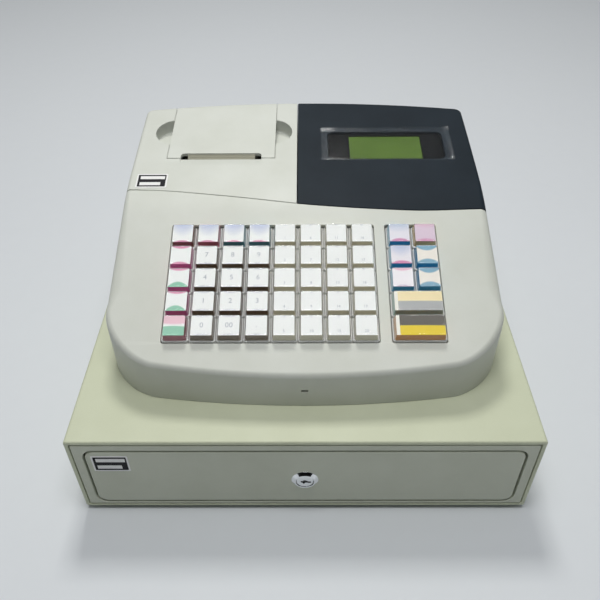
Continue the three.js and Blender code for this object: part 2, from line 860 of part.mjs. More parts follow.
// Drawer panel: a shallow steel pan with a hole for the lock
function drawerFront() {
  const half = panelWidth / 2;
  const pan = frontal(roundedShape(-half, half, panelZ, panelZ + panelHeight, panelCorner), 0, panelDepth);
  const hollow = frontal(roundedShape(
    -half + panelSheet, half - panelSheet, panelZ + panelSheet, panelZ + panelHeight - panelSheet,
    panelCorner - panelSheet,
  ), panelSheet, panelDepth + overrun);
  const hole = barY(cylinderRadius + fitGap + runGap, -overrun, panelDepth, 0, lockZ);
  return cut(pan, hollow, hole);
}

// Sliding steel tray with side flanges that ride in the runners, and a striker for the latch
function drawerTray() {
  const tray = block(-trayHalf, trayHalf, trayFront, trayRear, trayZ, trayZ + trayHeight);
  const inside = block(
    -trayHalf + traySheet, trayHalf - traySheet, trayFront + traySheet, trayRear - traySheet,
    trayZ + traySheet, trayZ + trayHeight + overrun,
  );
  let solid = tray.subtract(inside);
  const flangeZ = trayZ + runnerRise;
  for (const side of [-1, 1]) {
    const inner = side * (trayHalf - traySheet / 2);
    const outer = side * (trayHalf + flangeReach);
    solid = solid.add(block(
      Math.min(inner, outer), Math.max(inner, outer), trayFront, trayRear, flangeZ, flangeZ + traySheet,
    ));
  }
  const strikerZ = trayZ + latchHeight / 2;
  return solid.add(block(
    -strikerWidth / 2, strikerWidth / 2, trayRear - traySheet / 2, trayRear + strikerReach,
    strikerZ, strikerZ + strikerSheet,
  ));
}

// Latch at the rear: a solenoid block with an open jaw that the striker runs into
function drawerLatch() {
  const low = footHeight + housingSheet;
  const front = trayRear + fitGap + runGap;
  const rear = drawerDepth - housingSheet - runGap;
  const half = latchWidth / 2;
  const strikerZ = trayZ + latchHeight / 2;
  const body = block(-half, half, front, rear, low, low + latchHeight + latchJaw / 2);
  const jaw = block(
    -strikerWidth / 2 - fitGap, strikerWidth / 2 + fitGap, front - overrun, front + latchJaw,
    strikerZ - fitGap, strikerZ + strikerSheet + fitGap,
  );
  const waist = block(
    -half - overrun, half + overrun, front + latchJaw, rear - traySheet,
    low + latchHeight - latchJaw / 2, low + latchHeight + latchJaw,
  );
  return cut(body, jaw, waist);
}

// Plastic cash insert: note bays behind, coin cups in front, and an axle bar for the note clips
const insertHalf = trayHalf - traySheet - fitGap;
const insertFront = trayFront + traySheet + fitGap;
const insertRear = trayRear - traySheet - fitGap;
const insertZ = trayZ + traySheet;
const insertTop = insertZ + insertHeight;
const noteFront = insertRear - insertWall - noteLength;
const rodY = insertRear - clipRodInset;
const rodZ = insertTop - clipRodRadius - clipBarrelWall;

function cell(index, count) {
  const span = (2 * insertHalf - insertWall) / count;
  const x0 = -insertHalf + insertWall + index * span;
  return [x0, x0 + span - insertWall];
}

function cashInsert() {
  let solid = block(-insertHalf, insertHalf, insertFront, insertRear, insertZ, insertTop);
  for (let i = 0; i < noteCount; i += 1) {
    const [x0, x1] = cell(i, noteCount);
    const bay = roundedShape(x0, x1, noteFront, insertRear - insertWall, bayCorner);
    solid = solid.subtract(upright(bay, insertZ + insertFloor, insertTop + overrun));
  }
  const cupSpan = (noteFront - insertFront - insertWall) / coinRows;
  for (let row = 0; row < coinRows; row += 1) {
    const y0 = insertFront + insertWall + row * cupSpan;
    for (let i = 0; i < coinCount; i += 1) {
      const [x0, x1] = cell(i, coinCount);
      const cup = roundedShape(x0, x1, y0, y0 + cupSpan - insertWall, bayCorner);
      solid = solid.subtract(upright(cup, insertZ + insertFloor, insertTop + overrun));
    }
  }
  return solid.add(barX(
    clipRodRadius, -insertHalf + insertWall / 2, insertHalf - insertWall / 2, rodY, rodZ, smallFacets,
  ));
}

// Note clip: a sleeve on the axle bar and an arm that leans down onto the notes
function noteClip(index) {
  const [x0, x1] = cell(index, noteCount);
  const x = (x0 + x1) / 2;
  const sleeve = barX(
    clipRodRadius + clipBarrelWall, x - clipWidth / 2, x + clipWidth / 2, rodY, rodZ, smallFacets,
  );
  const drop = rodZ - (insertZ + insertFloor) - runGap;
  const tipY = rodY - Math.sqrt(clipLength ** 2 - drop ** 2);
  const tipZ = insertZ + insertFloor + runGap;
  const arm = sideways(polygon([
    [rodY, rodZ - clipRodRadius - clipThick / 2],
    [rodY, rodZ + clipRodRadius + clipThick / 2],
    [tipY + clipPad, tipZ + clipThick],
    [tipY, tipZ + clipThick],
    [tipY, tipZ],
    [tipY + clipPad, tipZ],
  ]), x - clipWidth / 2, x + clipWidth / 2);
  const bore = barX(
    clipRodRadius + runGap, x - clipWidth, x + clipWidth, rodY, rodZ, smallFacets,
  );
  return joined(sleeve, arm).subtract(bore);
}

// Lock: a dished bezel and a turning cylinder with a cam behind the panel
function lockBezel() {
  const bore = cylinderRadius + runGap;
  const rim = (lockRadius + bore) / 2;
  const points = [
    [bore, 0],
    [lockRadius, 0],
    [lockRadius, lockProud / 2],
    [rim, lockProud],
    [bore, lockProud - lockDish],
    [bore, 0],
  ].map(([r, h]) => new THREE.Vector2(r, h));
  const geometry = new THREE.LatheGeometry(points, roundFacets);
  geometry.rotateX(Math.PI);
  geometry.translate(0, 0, lockZ);
  return toSolid(geometry);
}

function lockCylinder() {
  const rear = panelSheet + runGap;
  const barrel = barY(cylinderRadius, lockDish - lockProud, rear + camThick + runGap, 0, lockZ);
  const collar = barY(cylinderRadius + 2 * fitGap + runGap, rear, rear + camThick, 0, lockZ);
  const cam = block(0, camReach, rear, rear + camThick, lockZ - camWidth / 2, lockZ + camWidth / 2);
  const slot = block(
    -keySlotLength / 2, keySlotLength / 2, -lockProud - overrun, lockDish - lockProud + keySlotDepth,
    lockZ - keySlotWidth / 2, lockZ + keySlotWidth / 2,
  );
  return joined(barrel, collar, cam).subtract(slot);
}

function foot(x, y) {
  const points = [[0, 0], [footRadius - footDraft, 0], [footRadius, footHeight], [0, footHeight]];
  const geometry = new THREE.LatheGeometry(points.map(([r, h]) => new THREE.Vector2(r, h)), roundFacets);
  geometry.rotateX(Math.PI / 2);
  geometry.translate(x, y, 0);
  return toSolid(geometry);
}

// Base pan: floor, low wall inside the covers, ribs, standoffs and the rear socket block
function portWindow() {
  const z = housingTop + portRise;
  return block(
    portX - portWidth / 2, portX + portWidth / 2, caseRear - rearBow - 2 * overrun, caseRear + overrun,
    z, z + portHeight,
  );
}

function baseCase() {
  const inset = caseWall + fitGap;
  const slab = (low, high) => caseBody(inset + low, housingTop)
    .intersect(block(-seamEnd, seamEnd, 0, caseRear + overrun, housingTop - overrun, high));
  let base = slab(0, housingTop + panRise).subtract(
    caseBody(inset + panWall, housingTop).intersect(block(
      -seamEnd, seamEnd, 0, caseRear + overrun, housingTop + panFloor, skyZ,
    )),
  );
  const under = topHeight(caseFront) - plateTan * caseFront;
  const drop = (caseWall + fitGap) / Math.cos(THREE.MathUtils.degToRad(plateSlope)) + 2 * caseWall;
  for (const side of [-1, 1]) {
    const x = side * (caseHalfWidth - ribInset);
    const ribFront = caseFront + caseCorner;
    base = base.add(sideways(polygon([
      [ribFront, housingTop],
      [bendStart, housingTop],
      [bendStart, under + plateTan * bendStart - drop],
      [ribFront, under + plateTan * ribFront - drop],
    ]), x - ribThick / 2, x + ribThick / 2));
  }
  for (const [x, y] of boardCorners(standoffWidth)) {
    base = base.add(block(
      x - standoffWidth / 2, x + standoffWidth / 2, y - standoffWidth / 2, y + standoffWidth / 2,
      housingTop + panFloor / 2, housingTop + panFloor + standoffHeight,
    ));
  }
  return portBlock(base);
}

function portBlock(base) {
  const z = housingTop + portRise;
  const rear = bowed(Math.abs(portX) + portWidth / 2, caseRear) - caseWall / 2;
  const front = rear - portDepth;
  const body = block(
    portX - portWidth / 2 + fitGap, portX + portWidth / 2 - fitGap, front, rear,
    housingTop + panFloor / 2, z + portHeight - fitGap,
  );
  const keep = block(
    portX - portWidth, portX + portWidth, front - overrun, rear - caseWall / 2 - fitGap, housingTop, skyZ,
  );
  const face = block(
    portX - portWidth / 2 + fitGap, portX + portWidth / 2 - fitGap, front, rear,
    z + fitGap, z + portHeight - fitGap,
  );
  const powerX = portX - portWidth / 4;
  const cableX = portX + portWidth / 4;
  const middle = z + portHeight / 2;
  const half = cableSocket / 2;
  const socket = barY(powerRadius, rear - portSink, rear + overrun, powerX, middle, smallFacets);
  const cable = block(
    cableX - half, cableX + half, rear - portSink, rear + overrun, middle - half, middle + half,
  );
  const pin = barY(powerPin, rear - portSink - caseWall, rear - caseWall, powerX, middle, smallFacets);
  return joined(base, body.intersect(keep), face).subtract(socket).subtract(cable).add(pin);
}

// Middles of the four standoffs under the board
function boardCorners(inset) {
  const places = [];
  for (const x of [boardX - boardWidth / 2 + inset, boardX + boardWidth / 2 - inset]) {
    for (const y of [boardRearY - boardLength + inset, boardRearY - inset]) {
      places.push([x, y]);
    }
  }
  return places;
}

// Circuit board with its larger components
function mainBoard() {
  const z = housingTop + panFloor + standoffHeight;
  const y = boardRearY - boardLength / 2;
  let board = block(
    boardX - boardWidth / 2, boardX + boardWidth / 2, y - boardLength / 2, y + boardLength / 2,
    z, z + boardThick,
  );
  for (const [xShare, yShare, widthShare, lengthShare, rise] of chipShares) {
    const cx = boardX + xShare * boardWidth;
    const cy = y + yShare * boardLength;
    const w = widthShare * boardWidth / 2;
    const l = lengthShare * boardLength / 2;
    const chipTop = z + boardThick + rise * chipHeight;
    board = board.add(block(cx - w, cx + w, cy - l, cy + l, z + boardThick / 2, chipTop));
  }
  return board;
}

const rollZ = topHeight(rollY) - rollDrop;
const platenZ = topHeight(platenY) - platenDrop;
const unitHalf = rollWidth / 2 + fitGap + cradleWall;

// Printer: two cheeks, a curved cradle for the roll and the mechanism block with its tear bar
function printerUnit() {
  const x0 = lidCentreX - unitHalf;
  const x1 = lidCentreX + unitHalf;
  const floorZ = housingTop + panFloor;
  const cradle = rollRadius + runGap;
  const rearY = rollY + cradle + cradleWall;
  const tearZ = topHeight(platenY) - printerTop;
  const body = sideways(polygon([
    [printerFront, floorZ],
    [rearY, floorZ],
    [rearY, rollZ],
    [rollY - cradle, rollZ],
    [platenY + platenRadius + 2 * cradleWall, platenZ + platenRadius],
    [platenY + platenRadius, tearZ],
    [printerFront, tearZ - cradleWall],
  ]), x0, x1);
  const roll = barX(cradle, x0 + cradleWall, x1 - cradleWall, rollY, rollZ);
  const drop = block(x0 + cradleWall, x1 - cradleWall, rollY - cradle, rollY + cradle, rollZ, skyZ);
  const platen = barX(platenRadius + fitGap, x0 + cradleWall, x1 - cradleWall, platenY, platenZ);
  const gap = block(
    x0 + cradleWall, x1 - cradleWall, platenY - platenRadius / 2, platenY + platenRadius + 3 * cradleWall,
    platenZ, skyZ,
  );
  const bore = barX(platenPin + runGap, x0 - overrun, x1 + overrun, platenY, platenZ, smallFacets);
  return cut(body, roll, drop, platen, gap, bore);
}

function platenRoller() {
  const half = rollWidth / 2;
  return joined(
    barX(platenRadius, lidCentreX - half, lidCentreX + half, platenY, platenZ),
    barX(platenPin, lidCentreX - unitHalf, lidCentreX + unitHalf, platenY, platenZ, smallFacets),
  );
}

function paperRoll() {
  const half = rollWidth / 2;
  return barX(rollRadius, lidCentreX - half, lidCentreX + half, rollY, rollZ)
    .subtract(barX(rollCore, lidCentreX - rollWidth, lidCentreX + rollWidth, rollY, rollZ, smallFacets));
}

// Finishes
function finish(color, roughness, metalness = 0) {
  return new THREE.MeshStandardMaterial({ color, roughness, metalness });
}

const finishes = {
  drawerPaint: finish(0xc6c8b4, 0.6, 0.1),
  framePaint: finish(0xb4b7a8, 0.6, 0.1),
  casePlastic: finish(0xd3d4ca, 0.55),
  hoodPlastic: finish(0x323840, 0.5),
  clear: finish(0x20262a, 0.1),
  blackPlastic: finish(0x1b1c1e, 0.6),
  greyPlastic: finish(0x55585c, 0.6),
  steel: finish(0x9a9da0, 0.4, 0.9),
  chrome: finish(0xd8dadc, 0.15, 1),
  rubber: finish(0x202022, 0.9),
  paper: finish(0xf2f1ec, 0.9),
  circuit: finish(0x2c6b42, 0.5),
  whiteKey: finish(0xe8e8e2, 0.3),
};

const register = new THREE.Group();
register.position.y = -originY;

register.add(keyPlane, displayPlane);

function addPart(name, shape, material, parent = register) {
  const geometry = shape.isBufferGeometry ? shape : toGeometry(shape);
  const mesh = new THREE.Mesh(geometry, material);
  mesh.name = name;
  parent.add(mesh);
}

addPart('drawer_housing', drawerHousing(), finishes.drawerPaint);
addPart('front_frame', frontFrame(), finishes.framePaint);
addPart('drawer_front', drawerFront(), finishes.framePaint);
addPart('drawer_tray', drawerTray(), finishes.steel);
addPart('cash_insert', cashInsert(), finishes.blackPlastic);
for (let i = 0; i < noteCount; i += 1) {
  addPart(`note_clip_${i + 1}`, noteClip(i), finishes.greyPlastic);
}
addPart('lock_bezel', lockBezel(), finishes.chrome);
addPart('lock_cylinder', lockCylinder(), finishes.chrome);
addPart('drawer_latch', drawerLatch(), finishes.steel);
for (const [sideName, side] of [['left', -1], ['right', 1]]) {
  for (const [endName, y] of [['front', footInset], ['rear', drawerDepth - footInset]]) {
    addPart(`foot_${endName}_${sideName}`, foot(side * (drawerWidth / 2 - footInset), y), finishes.rubber);
  }
}

addPart('base_case', baseCase(), finishes.casePlastic);
addPart('keyboard_cover', keyboardCover(), finishes.casePlastic);
addPart('printer_cover', printerCover(), finishes.casePlastic);
addPart('display_hood', displayHood(), finishes.hoodPlastic);
addPart('paper_lid', paperLid(), finishes.casePlastic);
addPart('display_window', displayWindow(), finishes.clear, displayPlane);
addPart('display_module', displayModule(), finishes.blackPlastic, displayPlane);
addPart('printer_unit', printerUnit(), finishes.blackPlastic);
addPart('platen_roller', platenRoller(), finishes.rubber);
addPart('paper_roll', paperRoll(), finishes.paper);
addPart('main_board', mainBoard(), finishes.circuit);
addPart('key_frame', keyFrame(), finishes.greyPlastic, keyPlane);

for (let row = 0; row < keyRows; row += 1) {
  for (let column = 0; column < numberColumns; column += 1) {
    const cap = keyCap(1, columnX(column), rowV(row));
    addPart(`key_row${row + 1}_${column + 1}`, cap, finishes.whiteKey, keyPlane);
  }
}
for (let column = numberColumns; column < numberColumns + groupColumns; column += 1) {
  addPart(`key_column_${column + 1}`, keyColumn(column), finishes.whiteKey, keyPlane);
}
for (let row = 0; row < keyRows; row += 1) {
  const first = numberColumns + groupColumns;
  if (row < keyRows - 2) {
    addPart(`side_key_${row + 1}a`, keyCap(1, columnX(first), rowV(row)), finishes.whiteKey, keyPlane);
    addPart(`side_key_${row + 1}b`, keyCap(1, columnX(first + 1), rowV(row)), finishes.whiteKey, keyPlane);
  } else {
    const cap = keyCap(2, columnX(first) + keyPitch / 2, rowV(row));
    addPart(`wide_key_${row + 1}`, cap, finishes.whiteKey, keyPlane);
  }
}

export default register;
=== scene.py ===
import json
import math

import bmesh
import bpy
from mathutils import Matrix, Vector
from mathutils.bvhtree import BVHTree

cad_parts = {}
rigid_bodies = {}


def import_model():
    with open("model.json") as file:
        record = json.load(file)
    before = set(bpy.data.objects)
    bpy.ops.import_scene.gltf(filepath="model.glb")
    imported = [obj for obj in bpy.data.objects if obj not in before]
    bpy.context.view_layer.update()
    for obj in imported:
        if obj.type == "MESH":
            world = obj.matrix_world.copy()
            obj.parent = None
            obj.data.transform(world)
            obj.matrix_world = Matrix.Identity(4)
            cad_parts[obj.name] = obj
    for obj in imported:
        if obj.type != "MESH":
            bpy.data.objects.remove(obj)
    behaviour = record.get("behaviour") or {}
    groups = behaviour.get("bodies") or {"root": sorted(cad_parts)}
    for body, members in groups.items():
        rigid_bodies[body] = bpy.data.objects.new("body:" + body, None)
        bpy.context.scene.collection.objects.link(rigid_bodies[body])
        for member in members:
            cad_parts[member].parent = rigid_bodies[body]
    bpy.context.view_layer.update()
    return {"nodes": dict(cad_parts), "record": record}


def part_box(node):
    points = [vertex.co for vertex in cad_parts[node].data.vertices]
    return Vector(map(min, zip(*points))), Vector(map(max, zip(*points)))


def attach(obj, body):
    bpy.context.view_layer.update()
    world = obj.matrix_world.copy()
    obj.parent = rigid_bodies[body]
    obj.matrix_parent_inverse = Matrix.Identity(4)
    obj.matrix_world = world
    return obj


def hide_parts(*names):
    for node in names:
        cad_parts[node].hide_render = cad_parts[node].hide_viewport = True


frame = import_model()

print("stage: frame loaded")

# Lengths are millimetres, measured back from the drawer's front face, across from its middle and up from
# the floor. A finished piece is put in the frame's own metres.
mm = 0.001
housingLow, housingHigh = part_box("drawer_housing")
housingTop = housingHigh.z / mm
housingHalf = housingHigh.x / mm
housingDepth = (housingHigh.y - housingLow.y) / mm
housingBase = housingLow.z / mm
toFrame = Matrix.Translation((0, housingLow.y, 0)) @ Matrix.Scale(mm, 4)
fromFrame = toFrame.inverted()
fitGap = 0.4
leastGap = 0.3
past = 6  # how far a cut runs past the face that it opens

workshop = bpy.data.collections.new("workshop")  # shapes that are only cut with
bpy.context.scene.collection.children.link(workshop)


# Meshes

def newObject(name, verts, faces, collection=workshop):
    mesh = bpy.data.meshes.new(name)
    mesh.from_pydata([tuple(v) for v in verts], [], faces)
    obj = bpy.data.objects.new(name, mesh)
    collection.objects.link(obj)
    editMesh(obj, lambda bm: bmesh.ops.recalc_face_normals(bm, faces=bm.faces))
    return obj


def editMesh(obj, change):
    bm = bmesh.new()
    bm.from_mesh(obj.data)
    change(bm)
    bm.to_mesh(obj.data)
    bm.free()
    obj.data.update()
    return obj


def settled(obj):
    # turns what the modifiers make into the object's own mesh
    bpy.context.view_layer.update()
    depsgraph = bpy.context.evaluated_depsgraph_get()
    mesh = bpy.data.meshes.new_from_object(obj.evaluated_get(depsgraph))
    obj.modifiers.clear()
    obj.data = mesh
    return obj


def combine(target, others, operation):
    for other in others:
        modifier = target.modifiers.new("combine", "BOOLEAN")
        modifier.solver = "MANIFOLD"
        modifier.operation = operation
        modifier.object = other
    return settled(target)


def cut(target, *others):
    return combine(target, others, "DIFFERENCE")


def join(target, *others):
    return combine(target, others, "UNION")


def keep(target, *others):
    return combine(target, others, "INTERSECT")


def twin(obj, name):
    copy = obj.copy()
    copy.data = obj.data.copy()
    copy.name = name
    workshop.objects.link(copy)
    return copy


def bevel(obj, width, segments=2, angle=40):
    modifier = obj.modifiers.new("bevel", "BEVEL")
    modifier.width = width
    modifier.segments = segments
    modifier.limit_method = "ANGLE"
    modifier.angle_limit = math.radians(angle)
    modifier.use_clamp_overlap = True
    return settled(obj)


def smooth(obj, angle=34):
    # smooth shading that breaks at the sharp edges, with the large faces leading at the soft ones
    def mark(bm):
        for face in bm.faces:
            face.smooth = True
        for edge in bm.edges:
            turn = edge.calc_face_angle(math.pi) if len(edge.link_faces) == 2 else math.pi
            edge.smooth = turn < math.radians(angle)
    editMesh(obj, mark)
    modifier = obj.modifiers.new("weights", "WEIGHTED_NORMAL")
    modifier.keep_sharp = True
    return settled(obj)


def lofted(name, rings, closed=False):
    # rings of equal count, joined in order; the two ends are capped unless the loft closes on itself
    verts = [point for ring in rings for point in ring]
    count = len(rings[0])
    faces = []
    last = len(rings) if closed else len(rings) - 1
    for level in range(last):
        low = level * count
        high = (level + 1) % len(rings) * count
        for i in range(count):
            j = (i + 1) % count
            faces.append((low + i, low + j, high + j, high + i))
    if not closed:
        faces.append(tuple(reversed(range(count))))
        faces.append(tuple(range((len(rings) - 1) * count, len(rings) * count)))

    def outward(bm):
        if bm.calc_volume(signed=True) < 0:
            bmesh.ops.reverse_faces(bm, faces=bm.faces)
    return editMesh(newObject(name, verts, faces), outward)


def turned(axis, u, v, w):
    # u and v lie in the outline's plane and w along the axis
    return {"x": (w, u, v), "y": (u, w, v), "z": (u, v, w)}[axis]


def prism(name, outline, axis, start, end):
    return lofted(name, [[turned(axis, u, v, w) for u, v in outline] for w in (start, end)])


def block(name, x0, x1, y0, y1, z0, z1):
    return prism(name, [(x0, y0), (x1, y0), (x1, y1), (x0, y1)], "z", z0, z1)


def roundRect(u0, u1, v0, v1, radius, steps=6):
    low, high, left, right = v0 + radius, v1 - radius, u0 + radius, u1 - radius
    points = []
    for corner, (cu, cv) in enumerate([(right, low), (right, high), (left, high), (left, low)]):
        for i in range(steps + 1):
            angle = math.pi / 2 * (corner - 1 + i / steps)
            points.append((cu + radius * math.cos(angle), cv + radius * math.sin(angle)))
    return points


def quarter(steps):
    # sine and cosine at even steps through a right angle
    return [(math.sin(math.pi / 2 * i / steps), math.cos(math.pi / 2 * i / steps)) for i in range(steps + 1)]


def softPrism(name, u0, u1, v0, v1, corner, axis, start, end, startRound=0, endRound=0, steps=4):
    # a prism over a rounded rectangle, with round edges at either end
    arc = quarter(steps)
    rings = [(startRound * (1 - sine), start + startRound * (1 - cosine))
             for sine, cosine in (arc if startRound else arc[:1])]
    rings += [(endRound * (1 - sine), end - endRound * (1 - cosine))
              for sine, cosine in reversed(arc if endRound else arc[:1])]
    return lofted(name, [
        [turned(axis, u, v, w) for u, v in roundRect(u0 + inset, u1 - inset, v0 + inset, v1 - inset,
                                                     max(corner - inset, 0.05))]
        for inset, w in rings
    ])


def bar(name, axis, radius, start, end, u, v, steps=48):
    angles = [math.tau * i / steps for i in range(steps)]
    return prism(name, [(u + radius * math.cos(a), v + radius * math.sin(a)) for a in angles], axis, start, end)


def lathe(name, profile, axis, u, v, steps=64, closed=True):
    # profile points are (radius, place along the axis); a closed profile never meets the axis
    rings = []
    for i in range(steps):
        angle = math.tau * i / steps
        rings.append([turned(axis, u + r * math.cos(angle), v + r * math.sin(angle), w) for r, w in profile])
    if closed:
        return lofted(name, rings, closed=True)
    faces = []
    count = len(profile)
    for i in range(steps):
        low, high = i * count, (i + 1) % steps * count
        faces.extend((low + k, low + k + 1, high + k + 1, high + k) for k in range(count - 1))
    obj = newObject(name, [point for ring in rings for point in ring], faces)
    editMesh(obj, lambda bm: bmesh.ops.remove_doubles(bm, verts=bm.verts, dist=0.0001))
    return editMesh(obj, lambda bm: bmesh.ops.recalc_face_normals(bm, faces=bm.faces))


def roundedCopy(node, name, width):
    # a CAD node's own shape, with its triangles merged to flat faces and its edges rounded
    source = frame["nodes"][node]
    copy = bpy.data.objects.new(name, source.data.copy())
    workshop.objects.link(copy)
    copy.data.transform(fromFrame)
    copy.data.materials.clear()

    def merge(bm):
        bmesh.ops.remove_doubles(bm, verts=bm.verts, dist=0.002)
        bmesh.ops.dissolve_limit(bm, angle_limit=math.radians(0.5), verts=bm.verts, edges=bm.edges)
    return smooth(bevel(editMesh(copy, merge), width))


def place(obj, name, material, body, slot, *nodes):
    # a finished piece: in the frame's metres, on its body, in place of CAD nodes
    obj.name = name
    obj.data.name = name
    obj.data.transform(toFrame)
    obj.data.materials.clear()
    obj.data.materials.append(material)
    workshop.objects.unlink(obj)
    bpy.context.scene.collection.objects.link(obj)
    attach(obj, body)
    if nodes:
        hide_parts(*nodes)


# Node groups that several materials share

def feed(tree, node, **values):
    # sets sockets by name, from a number, a colour or another socket
    for name, value in values.items():
        socket = node.inputs[name.replace("_", " ")]
        if isinstance(value, bpy.types.NodeSocket):
            tree.links.new(value, socket)
        else:
            socket.default_value = value
    return node


def calc(tree, operation, *values):
    node = tree.nodes.new("ShaderNodeMath")
    node.operation = operation
    for socket, value in zip(node.inputs, values):
        if isinstance(value, bpy.types.NodeSocket):
            tree.links.new(value, socket)
        else:
            socket.default_value = value
    return node.outputs[0]


def ranged(tree, value, fromMin, fromMax, toMin=0, toMax=1, kind="LINEAR"):
    node = tree.nodes.new("ShaderNodeMapRange")
    node.interpolation_type = kind
    feed(tree, node, Value=value, From_Min=fromMin, From_Max=fromMax, To_Min=toMin, To_Max=toMax)
    return node.outputs["Result"]


def mixed(tree, kind, factor, a, b):
    node = tree.nodes.new("ShaderNodeMix")
    node.data_type = kind
    return feed(tree, node, Factor=factor, A=a, B=b).outputs["Result"]


def noise(tree, vector, scale, detail, roughness=0.5):
    node = tree.nodes.new("ShaderNodeTexNoise")
    return feed(tree, node, Vector=vector, Scale=scale, Detail=detail, Roughness=roughness).outputs["Fac"]


def newGroup(name, inputs, outputs):
    # a shader group with its input sockets, by name and kind, and the nodes for both ends
    tree = bpy.data.node_groups.new(name, "ShaderNodeTree")
    for socketName, kind, default in inputs:
        socket = tree.interface.new_socket(socketName, in_out="INPUT", socket_type="NodeSocket" + kind)
        if default is not None:
            socket.default_value = default
    for socketName, kind in outputs:
        tree.interface.new_socket(socketName, in_out="OUTPUT", socket_type="NodeSocket" + kind)
    return tree, tree.nodes.new("NodeGroupInput").outputs, tree.nodes.new("NodeGroupOutput")


def useGroup(tree, group, **values):
    node = tree.nodes.new("ShaderNodeGroup")
    node.node_tree = group
    return feed(tree, node, **values).outputs


def srgb(red, green, blue):
    # a colour as an eye reads it from a picture, 0 to 255, in linear light
    def linear(value):
        share = value / 255
        return share / 12.92 if share <= 0.04045 else ((share + 0.055) / 1.055) ** 2.4
    return (linear(red), linear(green), linear(blue), 1)


def scaled(colour, factor, lift=0):
    return tuple(min(1, factor * c + lift) for c in colour[:3]) + (1,)


def buildMouldGrain():
    # fine spark texture of a moulding or a powder coat, with a faint mottle of the colour
    tree, given, result = newGroup("mouldGrain", [
        ("Vector", "Vector", None), ("Colour", "Color", (0.8, 0.8, 0.8, 1)), ("Tint", "Color", (0.7, 0.7, 0.7, 1)),
        ("Grain", "Float", 1800), ("Mottle", "Float", 25), ("Roughness", "Float", 0.5), ("Spread", "Float", 0.06),
    ], [("Colour", "Color"), ("Roughness", "Float"), ("Height", "Float")])
    grain = noise(tree, given["Vector"], given["Grain"], 3, 0.6)
    mottle = noise(tree, given["Vector"], given["Mottle"], 4, 0.55)
    spotted = calc(tree, "MULTIPLY_ADD", grain, 0.35, mottle)
    swing = calc(tree, "SUBTRACT", mottle, 0.5)
    feed(tree, result, Height=grain,
         Colour=mixed(tree, "RGBA", ranged(tree, spotted, 0.45, 0.9), given["Colour"], given["Tint"]),
         Roughness=calc(tree, "MULTIPLY_ADD", swing, given["Spread"], given["Roughness"]))
    return tree


def buildPaleEdgesPaintedShade():
    # lightens the convex edges, broken up by noise, and darkens the hollows with painted shade
    tree, given, result = newGroup("paleEdgesPaintedShade", [
        ("Vector", "Vector", None), ("Colour", "Color", (0.8, 0.8, 0.8, 1)), ("Edge", "Color", (0.9, 0.9, 0.9, 1)),
        ("Hollow", "Color", (0.3, 0.3, 0.3, 1)), ("Amount", "Float", 0.4),
    ], [("Colour", "Color")])
    bend = tree.nodes.new("ShaderNodeNewGeometry").outputs["Pointiness"]
    broken = calc(tree, "MULTIPLY", ranged(tree, bend, 0.52, 0.62), noise(tree, given["Vector"], 90, 5))
    edged = calc(tree, "MULTIPLY", broken, given["Amount"])
    # painted shade: a darker colour where the surface is hollow
    deep = calc(tree, "MULTIPLY", ranged(tree, bend, 0.48, 0.38), given["Amount"])
    light = mixed(tree, "RGBA", edged, given["Colour"], given["Edge"])
    feed(tree, result, Colour=mixed(tree, "RGBA", deep, light, given["Hollow"]))
    return tree


def buildArcPrint():
    # a printed field with a lens-shaped patch at either end and a plain margin at the left;
    # u and v run from 0 to 1 over the field
    pale = (0.9, 0.9, 0.9, 1)
    tree, given, result = newGroup("arcPrint", [
        ("Vector", "Vector", None), ("Ground", "Color", pale), ("Top", "Color", pale), ("Bottom", "Color", pale),
        ("Top Depth", "Float", 0.2), ("Bottom Depth", "Float", 0.2), ("Top Reach", "Float", 1),
        ("Bottom Reach", "Float", 1), ("Top Blur", "Float", 0.1), ("Bottom Blur", "Float", 0.1),
        ("Side", "Color", pale), ("Margin", "Float", 0),
    ], [("Colour", "Color")])
    field = feed(tree, tree.nodes.new("ShaderNodeSeparateXYZ"), Vector=given["Vector"]).outputs
    across = calc(tree, "MULTIPLY_ADD", field["X"], 2, -1)
    colour = given["Ground"]
    for end in ("Top", "Bottom"):
        share = calc(tree, "DIVIDE", across, given[end + " Reach"])
        bow = calc(tree, "SUBTRACT", 1, calc(tree, "POWER", calc(tree, "ABSOLUTE", share), 2))
        arc = calc(tree, "MULTIPLY", bow, given[end + " Depth"])
        fromEnd = calc(tree, "SUBTRACT", 1, field["Y"]) if end == "Top" else field["Y"]
        inside = calc(tree, "DIVIDE", calc(tree, "SUBTRACT", arc, fromEnd), given[end + " Blur"])
        mask = feed(tree, tree.nodes.new("ShaderNodeClamp"), Value=inside).outputs[0]
        colour = mixed(tree, "RGBA", mask, colour, given[end])
    margin = calc(tree, "LESS_THAN", field["X"], given["Margin"])
    feed(tree, result, Colour=mixed(tree, "RGBA", margin, colour, given["Side"]))
    return tree


mouldGrain = buildMouldGrain()
paleEdgesPaintedShade = buildPaleEdgesPaintedShade()
arcPrint = buildArcPrint()


def newMaterial(name):
    material = bpy.data.materials.new(name)
    material.use_nodes = True
    tree = material.node_tree
    tree.nodes.clear()
    output = tree.nodes.new("ShaderNodeOutputMaterial")
    shader = tree.nodes.new("ShaderNodeBsdfPrincipled")
    tree.links.new(shader.outputs[0], output.inputs["Surface"])
    return material, tree, shader, tree.nodes.new("ShaderNodeTexCoord").outputs["Object"]


def roughen(tree, shader, height, strength, distance):
    node = feed(tree, tree.nodes.new("ShaderNodeBump"), Height=height, Strength=strength, Distance=distance)
    tree.links.new(node.outputs[0], shader.inputs["Normal"])


# hollow is the share of the colour kept in the painted shade of the hollows; edge and edgeLift lighten the convex
# edges
finishTuning = {"hollow": 0.45, "edge": 1.15, "edgeLift": 0.02, "coatRoughness": 0.1, "depth": 0.0004}


